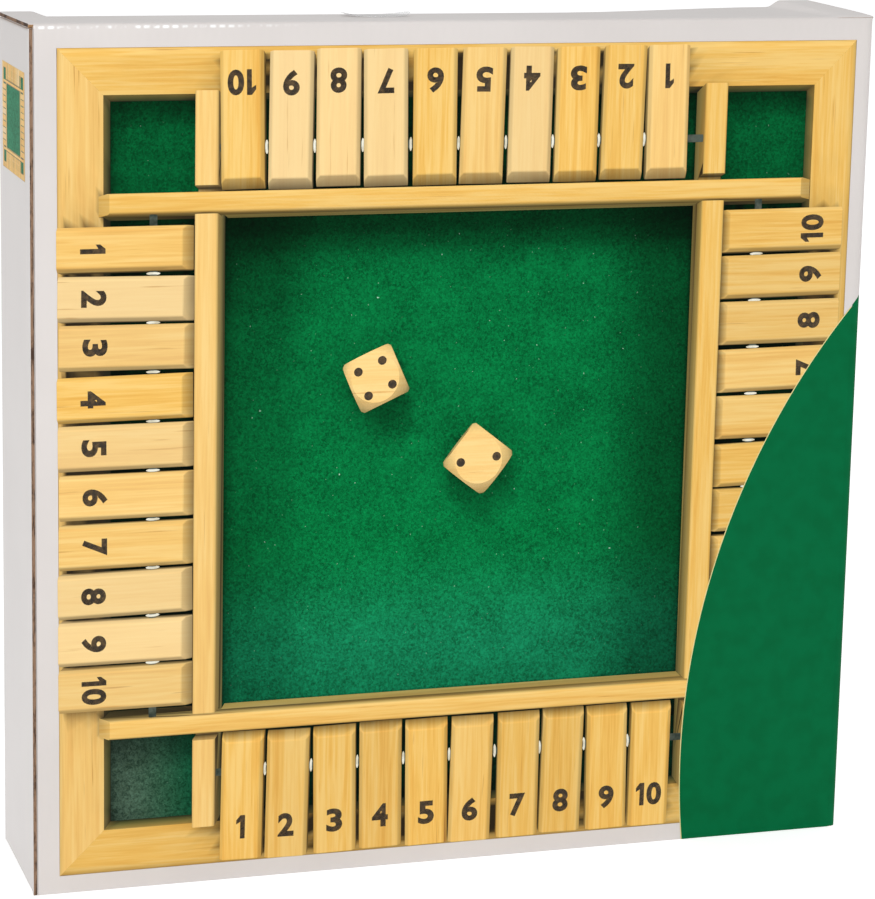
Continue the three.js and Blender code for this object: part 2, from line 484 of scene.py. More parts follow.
@dataclass(frozen=True)
class TwoToneFinish:
    """Two colours that noise mixes, as in paper, ink, wire or film."""

    name: str
    base: Color
    shade: Color
    roughness: float
    coarse: Grain
    stops: tuple[float, float] = (0.35, 0.6)
    fine: Grain | None = None
    share: float = 1.0
    relief: float = 0.0
    depth: float = 0.1 * MM
    fine_relief: bool = False
    inputs: dict[str, float] = field(default_factory=dict)

    def material(self) -> Material:
        """Returns the finish as a material."""
        shader = Shader(self.name, Roughness=self.roughness, **self.inputs)
        blend = shader.noise(self.coarse.scale, self.coarse.detail, self.coarse.bend)
        if self.fine:
            fine = shader.noise(self.fine.scale, self.fine.detail, self.fine.bend)
            blend = shader.weigh(blend, self.share, fine, 1.0 - self.share)
        if self.relief:
            shader.bump(fine if self.fine_relief else blend, self.relief, self.depth)
        return shader.paint(shader.ramp(blend, self.stops[0], self.shade, self.stops[1], self.base))


def ink(name: str, base: Color, shade: Color, roughness: float = 0.38, grain: float = 300.0,
        specular: float = 0.1) -> Material:
    """Returns one colour of printing ink or stain, slightly uneven.

    Args:
        name: The material's name.
        base: Its colour.
        shade: Its darker colour.
        roughness: How rough it is.
        grain: The repeats of its unevenness per metre.
        specular: The Principled shader's specular level.

    Returns:
        The material.
    """
    return TwoToneFinish(name, base, shade, roughness, Grain(grain, 3.0),
                         inputs={"Specular_IOR_Level": specular}).material()


@dataclass
class Palette:
    """Every finish of the object, made once."""

    wood: dict[Axis, Material] = field(default_factory=dict)
    printed_wood: dict[Axis, Material] = field(default_factory=dict)

    def __post_init__(self) -> None:
        """Makes the materials."""
        ends = {"dark": srgb(204, 160, 98), "middle": srgb(220, 180, 116), "light": srgb(234, 198, 140)}
        for axis in Axis:
            name = f"pine_along_{axis.name.lower()}"
            tones = ends if axis is Axis.Y else {}
            self.wood[axis] = WoodFinish(name, axis, **tones).material()
            self.printed_wood[axis] = WoodFinish(f"printed_{name}", axis, relief=0.0, specular=0.1,
                                                 **tones).material()
        self.felt = FeltFinish("green_felt").material()
        self.printed_felt = FeltFinish("printed_felt", low=srgb(0, 78, 38), high=srgb(4, 130, 68),
                                       roughness=0.5, specular=0.03, sheen=0.0, relief=0.0).material()
        self.white = CoatedBoardFinish("coated_board").material()
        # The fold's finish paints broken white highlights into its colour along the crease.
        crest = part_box("carton_lid")[1].z - 1.2 * MM
        self.fold = CoatedBoardFinish("coated_fold", relief=0.3, glint_height=crest).material()
        self.kraft = TwoToneFinish(
            "kraft_liner", srgb(190, 150, 108), srgb(166, 126, 86), 0.85, Grain((260.0, 260.0, 60.0), 5.0, 0.4),
            (0.34, 0.62), Grain((1400.0, 1400.0, 500.0), 2.0), 0.6, relief=0.2, fine_relief=True).material()
        # The raw side edge: brown crushed paper, with dark streaks that are painted shade in the flutes'
        # hollows.
        self.crushed_edge_and_shade = TwoToneFinish(
            "raw_side_edge", srgb(148, 118, 94), srgb(70, 48, 34), 0.9, Grain((900.0, 110.0, 110.0), 3.0, 0.8),
            (0.38, 0.53), Grain((1500.0, 1500.0, 900.0), 3.0), 0.75, 0.6, 0.4 * MM).material()
        self.steel = TwoToneFinish(
            "drawn_wire", srgb(196, 198, 202), srgb(160, 162, 168), 0.28, Grain((300.0, 2500.0, 300.0), 2.0),
            (0.4, 0.6), relief=0.08, inputs={"Metallic": 1.0}).material()
        self.film = TwoToneFinish(
            "clear_film", srgb(236, 238, 240), srgb(250, 250, 250), 0.08, Grain((60.0, 160.0, 60.0), 2.0),
            (0.3, 0.7), relief=0.3, depth=0.6 * MM, inputs={"Alpha": 0.35, "Coat_Weight": 0.6}).material()
        self.stain = ink("number_stain", srgb(52, 44, 34), srgb(88, 70, 46), 0.45, 700.0, 0.2)
        self.green = ink("green_print", srgb(0, 104, 60), srgb(0, 98, 55), grain=120.0, specular=0.05)
        self.pale_line = ink("pale_print", srgb(232, 222, 158), srgb(222, 212, 146), 0.38, 700.0, 0.2)
        self.rod_print = ink("printed_wire", srgb(82, 90, 80), srgb(48, 56, 48))
        self.washer_print = ink("printed_washer", srgb(238, 236, 220), srgb(206, 200, 176))
        self.paper = ink("leaflet_paper", srgb(240, 238, 232), srgb(232, 230, 224), 0.7, 90.0, 0.2)


# Bench work: small steps that the pieces share


def choose(piece: Piece, edit: str = "") -> None:
    """Selects one piece alone, and enters edit mode with nothing selected if a select mode is given.

    Args:
        piece: The piece to work on.
        edit: The select mode, or nothing to stay in object mode.
    """
    bpy.ops.object.select_all(action="DESELECT")
    piece.select_set(True)
    bpy.context.view_layer.objects.active = piece
    if edit:
        bpy.ops.object.mode_set(mode="EDIT")
        bpy.ops.mesh.select_mode(type=edit)
        bpy.ops.mesh.select_all(action="DESELECT")


def leave_edit() -> None:
    """Returns to object mode."""
    bpy.ops.object.mode_set(mode="OBJECT")


def place_piece(piece: Piece, name: str = "") -> Piece:
    """Moves a piece's place, turn and scale into its mesh, and names it if a name is given.

    Args:
        piece: The piece to work on.
        name: Its new name, if it gets one.

    Returns:
        The same piece.
    """
    piece.name = name or piece.name
    choose(piece)
    bpy.ops.object.transform_apply(location=True, rotation=True, scale=True)
    return piece


def add_block(name: str, low: Iterable[float], high: Iterable[float]) -> Piece:
    """Adds a block between two corners.

    Args:
        name: The piece's name.
        low: The lowest corner.
        high: The highest corner.

    Returns:
        The block, with its place in its mesh.
    """
    low, high = Vector(low), Vector(high)
    bpy.ops.object.select_all(action="DESELECT")
    bpy.ops.mesh.primitive_cube_add(size=1.0, location=(low + high) / 2)
    block = bpy.context.active_object
    block.scale = high - low
    return place_piece(block, name)


def add_cylinder(name: str, vertices: int, radius: float, depth: float, place: Iterable[float],
                 turn: Iterable[float] = (0.0, 0.0, 0.0)) -> Piece:
    """Adds a cylinder.

    Args:
        name: The piece's name.
        vertices: The number of its sides.
        radius: Its radius.
        depth: Its length.
        place: Its middle.
        turn: Its turn from upright.

    Returns:
        The cylinder, with its place in its mesh.
    """
    bpy.ops.object.select_all(action="DESELECT")
    bpy.ops.mesh.primitive_cylinder_add(vertices=vertices, radius=radius, depth=depth, location=place,
                                        rotation=turn)
    return place_piece(bpy.context.active_object, name)


def add_ball(name: str, segments: int, rings: int, radius: float,
             place: Iterable[float] = (0.0, 0.0, 0.0)) -> Piece:
    """Adds a ball.

    Args:
        name: The piece's name.
        segments: The number of its segments.
        rings: The number of its rings.
        radius: Its radius.
        place: Its middle.

    Returns:
        The ball, with its place in its mesh.
    """
    bpy.ops.object.select_all(action="DESELECT")
    bpy.ops.mesh.primitive_uv_sphere_add(segments=segments, ring_count=rings, radius=radius, location=place)
    return place_piece(bpy.context.active_object, name)


def select_edges(piece: Piece, pick: Pick) -> None:
    """Enters edit mode and selects the edges that a test of the middle and the direction picks.

    Args:
        piece: The piece to work on.
        pick: A test of an edge's middle and its unit direction.
    """
    choose(piece, "EDGE")
    mesh = bmesh.from_edit_mesh(piece.data)
    for edge in mesh.edges:
        first, second = (vertex.co for vertex in edge.verts)
        edge.select_set(pick((first + second) / 2, (second - first).normalized()))
    bmesh.update_edit_mesh(piece.data)


def select_faces(piece: Piece, pick: Pick) -> None:
    """Enters edit mode and selects the faces that a test of the middle and the normal picks.

    Args:
        piece: The piece to work on.
        pick: A test of a face's middle and its normal.
    """
    choose(piece, "FACE")
    mesh = bmesh.from_edit_mesh(piece.data)
    for face in mesh.faces:
        face.select_set(pick(face.calc_center_median(), face.normal))
    bmesh.update_edit_mesh(piece.data)


def extrude(move: Iterable[float]) -> None:
    """Extrudes the selected faces by a move."""
    bpy.ops.mesh.extrude_region_move(TRANSFORM_OT_translate={"value": tuple(move)})


def round_edges(piece: Piece, width: float, segments: int, pick: Pick) -> None:
    """Bevels the edges that a test picks.

    Args:
        piece: The piece to round.
        width: The bevel's width.
        segments: The bevel's segments.
        pick: A test of an edge's middle and its unit direction.
    """
    select_edges(piece, pick)
    bpy.ops.mesh.bevel(offset=width, segments=segments, affect="EDGES")
    leave_edit()


def divide(piece: Piece, cuts: int, along: Axis) -> None:
    """Splits a piece's edges along an axis, so that it can bend or take light there.

    Args:
        piece: The piece to work on.
        cuts: The number of cuts.
        along: The axis that the edges run along.
    """
    select_edges(piece, lambda mid, run: abs(run[along.value]) > 0.99)
    bpy.ops.mesh.subdivide(number_cuts=cuts)
    leave_edit()


def divide_top(piece: Piece, cuts: int) -> None:
    """Splits a piece's upper face into a net.

    Args:
        piece: The piece to work on.
        cuts: The number of cuts along each edge.
    """
    select_faces(piece, lambda mid, normal: normal.z > 0.9)
    bpy.ops.mesh.subdivide(number_cuts=cuts)
    leave_edit()


def cut_planes(piece: Piece, planes: Iterable[tuple], trim: bool = False) -> None:
    """Cuts a piece along planes.

    Args:
        piece: The piece to cut.
        planes: A point and a normal of each plane.
        trim: Whether what lies beyond each plane goes and the cut is closed.
    """
    choose(piece)
    bpy.ops.object.mode_set(mode="EDIT")
    for point, normal in planes:
        bpy.ops.mesh.select_all(action="SELECT")
        bpy.ops.mesh.bisect(plane_co=point, plane_no=normal, clear_outer=trim, use_fill=trim)
    leave_edit()


def slice_piece(piece: Piece, places: Iterable[float], axis: Axis) -> None:
    """Cuts a piece through square to an axis, at several places."""
    cut_planes(piece, [(axis.unit() * place, axis.unit()) for place in places])


def cut(piece: Piece, tool: Piece, operation: str = "DIFFERENCE") -> None:
    """Cuts a piece with a tool by a Boolean operation and removes the tool.

    Args:
        piece: The piece to work on.
        tool: The solid that cuts.
        operation: The Boolean modifier's operation.
    """
    choose(piece)
    boolean = piece.modifiers.new("cut", "BOOLEAN")
    boolean.operation = operation
    boolean.object = tool
    bpy.ops.object.modifier_apply(modifier=boolean.name)
    bpy.data.objects.remove(tool)


def add_bevel(piece: Piece, width: float, segments: int) -> None:
    """Rounds a piece's sharp edges by a bevel modifier and applies it.

    Args:
        piece: The piece to work on.
        width: The bevel's width.
        segments: The bevel's segments.
    """
    choose(piece)
    bevel = piece.modifiers.new("edges", "BEVEL")
    bevel.width, bevel.segments = width, segments
    bevel.limit_method, bevel.angle_limit = "ANGLE", math.radians(34)
    bpy.ops.object.modifier_apply(modifier=bevel.name)


def fit_piece(piece: Piece, low: Vector, high: Vector) -> Piece:
    """Scales and moves a piece until it fills a box.

    Args:
        piece: The piece.
        low: The box's lowest corner.
        high: The box's highest corner.

    Returns:
        The same piece.
    """
    columns = list(zip(*(vertex.co for vertex in piece.data.vertices)))
    piece.scale = [(high[i] - low[i]) / (max(columns[i]) - min(columns[i])) for i in range(3)]
    piece.location = [low[i] - min(columns[i]) * piece.scale[i] for i in range(3)]
    return place_piece(piece)


def dress(piece: Piece, *finishes: Material) -> None:
    """Gives a piece its materials, in slot order.

    Args:
        piece: The piece to work on.
        *finishes: The materials.
    """
    piece.data.materials.clear()
    for finish in finishes:
        piece.data.materials.append(finish)


def paint_faces(piece: Piece, slot: int, pick: Pick) -> None:
    """Puts a material slot on the faces that a test of the middle and the normal picks.

    Args:
        piece: The piece to work on.
        slot: The material slot.
        pick: A test of a face's middle and its normal.
    """
    for face in piece.data.polygons:
        if pick(face.center, face.normal):
            face.material_index = slot


def smooth(piece: Piece, degrees: float = 35.0) -> None:
    """Shades a piece smooth, but for edges sharper than an angle."""
    choose(piece)
    bpy.ops.object.shade_smooth_by_angle(angle=math.radians(degrees))


def set_tone(piece: Piece, *marks: float) -> None:
    """Writes up to three marks on the whole piece: its light and two that its finish explains.

    Args:
        piece: The piece to work on.
        *marks: The marks.
    """
    layer = piece.data.color_attributes.get(TONE)
    layer = layer or piece.data.color_attributes.new(TONE, "FLOAT_COLOR", "CORNER")
    for mark in layer.data:
        mark.color = (*marks, 0.0, 0.0, 0.0)[:3] + (0.0,)


def copy_piece(piece: Piece, name: str, move: Matrix) -> Piece:
    """Copies a piece with its own mesh and moves the copy.

    Args:
        piece: The piece to copy.
        name: The copy's name.
        move: How the copy lies against the first.

    Returns:
        The copy, with its place in its mesh.
    """
    choose(piece)
    bpy.ops.object.duplicate()
    copy = bpy.context.active_object
    copy.matrix_world = move @ copy.matrix_world
    return place_piece(copy, name)


def join_pieces(pieces: list[Piece]) -> Piece:
    """Joins pieces into the first one and returns it.

    Args:
        pieces: The pieces to join.

    Returns:
        The joined piece.
    """
    choose(pieces[0])
    for piece in pieces[1:]:
        piece.select_set(True)
    bpy.ops.object.join()
    return pieces[0]


def drop(*pieces: Piece) -> None:
    """Removes pieces that were only patterns for others."""
    for piece in pieces:
        bpy.data.objects.remove(piece)


def finish_piece(piece: Piece, body: str, slot: str, *nodes: str) -> None:
    """Puts a piece on its body, hides what it stands for and logs it.

    Args:
        piece: The finished piece.
        body: The body that carries it.
        slot: Not used.
        *nodes: The CAD nodes that it stands for.
    """
    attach(piece, body)
    if nodes:
        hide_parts(*nodes)
    LOG.info("%s rides on %s, %d faces", piece.name, body, len(piece.data.polygons))


# The wooden game, modelled lying flat: X to the right, Y up the board, Z up from its back


def quarter(turns: int) -> Matrix:
    """Returns a turn about the board's middle, from the bottom row to another side."""
    return turned(90 * turns, "Z")


@dataclass
class Game:
    """The wooden game: frame, inner rails, felt, rods, forty tiles and two dice."""

    palette: Palette
    outer_edge: float = 4.6 * MM
    corner: float = 9.0 * MM
    mitre_gap: float = 0.2 * MM
    inner_edge: float = 2.8 * MM
    end_slope: float = 6.0 * MM
    rail_bevel: float = 0.3 * MM
    clearance: float = 0.3 * MM
    tile_bevel: float = 3.8 * MM
    tile_heel: float = 3.0 * MM
    tile_side_edge: float = 1.5 * MM
    tile_edge: float = 0.35 * MM
    bore: float = 1.95 * MM
    nap: float = 0.12 * MM
    digit_height: float = 10.0 * MM
    digit_width: float = 6.2 * MM
    digit_inset: float = 13.8 * MM
    digit_depth: float = 0.25 * MM
    digit_proud: float = 0.03 * MM
    digit_weight: float = 0.04
    one_width: float = 0.55
    flag_foot: float = 0.72
    flag_reach: tuple[float, float, float] = (-0.26, -0.16, 0.0)
    flag_taper: float = 0.62
    die_edge: float = 0.5 * MM
    die_ball: float = 1.35
    pip: float = 1.75 * MM
    pip_step: float = 4.9 * MM

    def __post_init__(self) -> None:
        """Reads the game's sizes from the frame."""
        base_low, base_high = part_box("base_board")
        self.chance = random.Random(11)
        self.back = base_high.y
        self.middle = (base_low.z + base_high.z) / 2
        self.upright = shifted(0.0, self.back, self.middle) @ turned(90, "X")
        _, self.rail_high = self.lying("frame_rail_bottom")
        self.half = -self.lying("frame_rail_bottom")[0].y
        _, self.base_high = self.lying("base_board")
        self.felt_low, self.felt_high = self.lying("felt_sheet")
        self.cross_low, self.cross_high = self.lying("cross_rail_lower")
        self.tile_low, self.tile_high = self.lying("tile_bottom_1")
        self.rod_low, self.rod_high = self.lying("rod_bottom")
        self.rod = (self.rod_low + self.rod_high) / 2
        self.pitch = (self.lying("tile_bottom_10")[0].x - self.tile_low.x) / (TILES - 1)

    def lying(self, node: str) -> tuple[Vector, Vector]:
        """Returns a CAD node's lowest and highest corner as the game lies flat."""
        low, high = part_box(node)
        return (Vector((low.x, low.z - self.middle, self.back - high.y)),
                Vector((high.x, high.z - self.middle, self.back - low.y)))

    def frame_rail(self, corner: float, gap: float) -> Piece:
        """Makes the bottom frame rail, mitred at both ends and rebated for the base board.

        Args:
            corner: The radius of the game's corners, or 0 for sharp ones.
            gap: Half the gap of the mitre.

        Returns:
            The rail, lying flat.
        """
        half, top = self.half, self.rail_high.z
        rail = add_block("frame_rail", (-half, -half, 0.0), (half, self.rail_high.y, top))
        if corner:
            round_edges(rail, corner, 8, lambda mid, run: abs(run.z) > 0.9 and mid.y < -half + MM)
        round_edges(rail, self.outer_edge, 5, lambda mid, run: abs(run.z) < 0.1 and mid.z > top - MM / 10
                    and mid.y < self.rail_high.y - MM and abs(run.y) < 0.999)
        normals = [Vector((side, 1.0, 0.0)).normalized() for side in (-1, 1)]
        cut_planes(rail, [(-normal * gap, normal) for normal in normals], trim=True)
        reach = self.base_high.x + self.clearance
        cut(rail, add_block("rebate", (-reach, -reach, -MM), (reach, reach, self.base_high.z + self.clearance)))
        if corner:
            add_bevel(rail, self.rail_bevel, 2)
        return rail

    def inner_rail(self, over: bool, edge: float) -> Piece:
        """Makes an inner rail below the well, rounded along its top and half lapped.

        Args:
            over: True for the rail that crosses over the others, False for the one beneath.
            edge: The radius along its top.

        Returns:
            The rail, lying flat.
        """
        low, high = self.cross_low, self.cross_high
        rail = add_block("inner_rail", low, high)
        if over:
            rise_over = high.z - self.rail_high.z
            cut_planes(rail, [((side * high.x, 0.0, self.rail_high.z),
                               Vector((side * rise_over, 0.0, self.end_slope)).normalized())
                              for side in (-1, 1)], trim=True)
        self.grain(rail, self.palette.wood, 0)
        paint_faces(rail, 1, lambda mid, normal: abs(normal.x) > 0.3)
        round_edges(rail, edge, 5, lambda mid, run: abs(run.x) > 0.99 and mid.z > high.z - MM / 10)
        lap = (low.z + high.z) / 2
        width = (high.y - low.y) / 2 + self.clearance
        ends = (low.z - MM, lap + self.clearance / 2) if over else (lap - self.clearance / 2, high.z + MM)
        for side in (-1, 1):
            crossing = -side * (low.y + high.y) / 2
            cut(rail, add_block("notch", (crossing - width, low.y - MM, ends[0]),
                                (crossing + width, high.y + MM, ends[1])))
        return rail

    def plain_tile(self, width_share: float = 1.0) -> Piece:
        """Makes the first bottom tile without its number, at the row's middle.

        Args:
            width_share: The share of the tile's width that is kept.

        Returns:
            The tile, lying flat.
        """
        half = (self.tile_high.x - self.tile_low.x) / 2 * width_share
        low, high = self.tile_low, self.tile_high
        tile = add_block("tile", (-half, *low.yz), (half, *high.yz))
        round_edges(tile, self.tile_bevel, 1, lambda mid, run: abs(run.x) > 0.9 and mid.y > high.y - MM
                    and mid.z > high.z - MM)
        round_edges(tile, self.tile_heel, 4, lambda mid, run: abs(run.x) > 0.9 and mid.y > high.y - MM
                    and mid.z < low.z + MM)
        round_edges(tile, self.tile_side_edge, 1, lambda mid, run: abs(run.y) > 0.9
                    and mid.z > high.z - MM / 2)
        add_bevel(tile, self.tile_edge, 2)
        return tile

    def glyph(self, text: str) -> Piece:
        """Makes one figure as a solid of any size. A block with a flag is the 1.

        Args:
            text: The figure.

        Returns:
            The solid.
        """
        if text == "1":
            glyph = add_block("figure", (0.0, 0.0, 0.0), (0.3, 1.0, 0.2))
            slice_piece(glyph, [self.flag_foot], Axis.Y)
            select_faces(glyph, lambda mid, normal: normal.x < -0.9 and mid.y > self.flag_foot)
            extrude(self.flag_reach)
            bpy.ops.transform.resize(value=(1.0, self.flag_taper, 1.0))
            leave_edit()
            return glyph
        bpy.ops.object.select_all(action="DESELECT")
        bpy.ops.object.text_add(location=(0.0, 0.0, 0.0))
        glyph = bpy.context.active_object
        for name, value in (("body", text), ("offset", self.digit_weight), ("extrude", 0.1),
                            ("resolution_u", 5)):
            setattr(glyph.data, name, value)
        choose(glyph)
        bpy.ops.object.convert(target="MESH")
        bpy.ops.object.mode_set(mode="EDIT")
        bpy.ops.mesh.select_all(action="SELECT")
        bpy.ops.mesh.remove_doubles(threshold=0.0005)
        bpy.ops.mesh.normals_make_consistent(inside=False)
        leave_edit()
        return glyph

    def digit(self, number: int) -> Piece:
        """Makes a tile's stained number, upright on the bottom row's middle.

        Args:
            number: The number from 1 to 10.

        Returns:
            The number as a thin solid whose face stands just proud of the tile.
        """
        top = self.tile_high.z + self.digit_proud
        foot = self.tile_low.y + self.digit_inset - self.digit_height / 2
        wide, narrow = self.digit_width, self.digit_width * self.one_width
        if number == TILES:
            whole = wide + narrow + wide / 6
            parts = (("1", -whole / 2, narrow), ("0", whole / 2 - wide, wide))
        else:
            width = narrow if number == 1 else wide
            parts = ((str(number), -width / 2, width),)
        return join_pieces([
            fit_piece(self.glyph(text), Vector((left, foot, top - self.digit_depth)),
                      Vector((left + width, foot + self.digit_height, top)))
            for text, left, width in parts
        ])

    def die(self) -> Piece:
        """Makes a die turned round at its corners, with drilled, stained pips, its middle at zero.

        Returns:
            The die, with one pip up.
        """
        low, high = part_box("die_a")
        half = (high - low).x / 2
        die = add_block("die", (-half,) * 3, (half,) * 3)
        add_bevel(die, self.die_edge, 3)
        cut(die, add_ball("ball", 64, 40, half * self.die_ball), "INTERSECT")
        corners = [(-1, -1), (-1, 1), (1, -1), (1, 1)]
        faces = ((0, "X", [(0, 0)]), (90, "X", [(-1, -1), (1, 1)]), (90, "Y", [(-1, -1), (0, 0), (1, 1)]),
                 (-90, "Y", corners), (-90, "X", [(0, 0), *corners]), (180, "X", [(-1, 0), (1, 0), *corners]))
        hollows = [turned(angle, axis) @ Vector((x * self.pip_step, y * self.pip_step, half + self.pip * 0.3))
                   for angle, axis, spots in faces for x, y in spots]
        cut(die, join_pieces([add_ball("pip", 16, 10, self.pip, hollow) for hollow in hollows]))
        dress(die, self.palette.wood[Axis.X], self.palette.stain)
        inside = half - 0.02 * MM
        paint_faces(die, 1, lambda mid, normal: max(abs(value) for value in mid) < inside
                    and min((mid - hollow).length for hollow in hollows) < self.pip * 1.01)
        smooth(die, 24)
        return die

    def tile_turn(self, side: int, number: float, shift: float = 0.0, pitch_share: float = 1.0) -> Matrix:
        """Returns where a tile lies on the board.

        Args:
            side: 0 for the bottom row, then on round to the right.
            number: The tile's number.
            shift: How far the tile is moved along its row.
            pitch_share: The share of the tiles' spacing that is kept.

        Returns:
            The tile's place against the bottom row's middle.
        """
        along = (number - (TILES + 1) / 2) * self.pitch * pitch_share + shift
        return quarter(side) @ shifted(along, 0.0, 0.0)

    def grain(self, rail: Piece, woods: dict[Axis, Material], turns: int) -> None:
        """Dresses a rail in wood along its length, with end grain, after quarter turns from the bottom."""
        dress(rail, woods[Axis.Z if turns % 2 else Axis.X], woods[Axis.Y])

    def build_rails(self) -> None:
        """Builds the frame and the inner rails."""
        rails = {"frame": self.frame_rail(self.corner, self.mitre_gap),
                 "over": self.inner_rail(True, self.inner_edge),
                 "under": self.inner_rail(False, self.inner_edge)}
        for rail in rails.values():
            smooth(rail)
        places = [("frame", turns, f"frame_{side}", f"frame_rail_{side}") for turns, side in enumerate(SIDES)]
        crossings = (("over", 0, "cross_rail_lower"), ("over", 2, "cross_rail_upper"),
                     ("under", 1, "side_rail_right"), ("under", 3, "side_rail_left"))
        places += [(kind, turns, f"well_{node}", node) for kind, turns, node in crossings]
        for kind, turns, name, node in places:
            rail = copy_piece(rails[kind], name, self.upright @ quarter(turns))
            set_tone(rail, self.chance.uniform(0.95, 1.02), self.chance.random(), self.chance.uniform(0.0, 0.25))
            self.grain(rail, self.palette.wood, turns)
            finish_piece(rail, "game", "frame_wood", node)
        drop(*rails.values())

    def build_floor(self) -> None:
        """Builds the felt with its uneven nap, and dresses the base board and the rods."""
        felt = add_block("felt_floor", self.felt_low, self.felt_high)
        divide_top(felt, 40)
        for vertex in felt.data.vertices:
            if vertex.co.z > self.felt_high.z - MM / 10:
                vertex.co.z -= self.chance.random() * self.nap
        felt.matrix_world = self.upright
        place_piece(felt)
        set_tone(felt, 1.0)
        dress(felt, self.palette.felt)
        finish_piece(felt, "game", "felt", "felt_sheet")
        for side in SIDES:
            dress(bpy.data.objects[f"rod_{side}"], self.palette.steel)
        set_tone(bpy.data.objects["base_board"], 1.0, 0.4, 0.6)
        dress(bpy.data.objects["base_board"], self.palette.wood[Axis.X])

    def build_tiles(self) -> None:
        """Builds the forty tiles with their numbers, bored for their rods."""
        chance, tile = self.chance, self.plain_tile()
        cut(tile, add_cylinder("drill", 24, self.bore, 40 * MM, (0.0, *self.rod.yz), (0.0, math.pi / 2, 0.0)))
        smooth(tile)
        digits = [self.digit(number) for number in range(1, TILES + 1)]
        for index, side in enumerate(SIDES):
            for number in range(1, TILES + 1):
                place = self.upright @ self.tile_turn(index, number)
                piece = copy_piece(tile, f"number_tile_{side}_{number}", place)
                set_tone(piece, chance.uniform(0.93, 1.04), chance.random(), chance.random() ** 2)
                stained = copy_piece(digits[number - 1], "ink", place)
                for part in (piece, stained):
                    dress(part, self.palette.wood[Axis.X if index % 2 else Axis.Z], self.palette.stain)
                paint_faces(stained, 1, lambda mid, normal: True)
                join_pieces([piece, stained])
                finish_piece(piece, f"tile_{side}_{number}", "tile_wood", f"tile_{side}_{number}")
        drop(tile, *digits)

    def build_dice(self) -> None:
        """Builds the two dice in their recesses."""
        die = self.die()
        for node, axis in (("die_a", "Y"), ("die_b", "X")):
            low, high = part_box(node)
            piece = copy_piece(die, f"rounded_{node}", shifted(*(low + high) / 2) @ turned(90, axis))
            set_tone(piece, 1.02, self.chance.random(), 0.3)
            finish_piece(piece, node, "die_wood", node)
        drop(die)

    def build(self) -> None:
        """Builds every piece of the real game and puts it on its body."""
        self.build_rails()
        self.build_floor()
        self.build_tiles()
        self.build_dice()


# The printed picture of the game


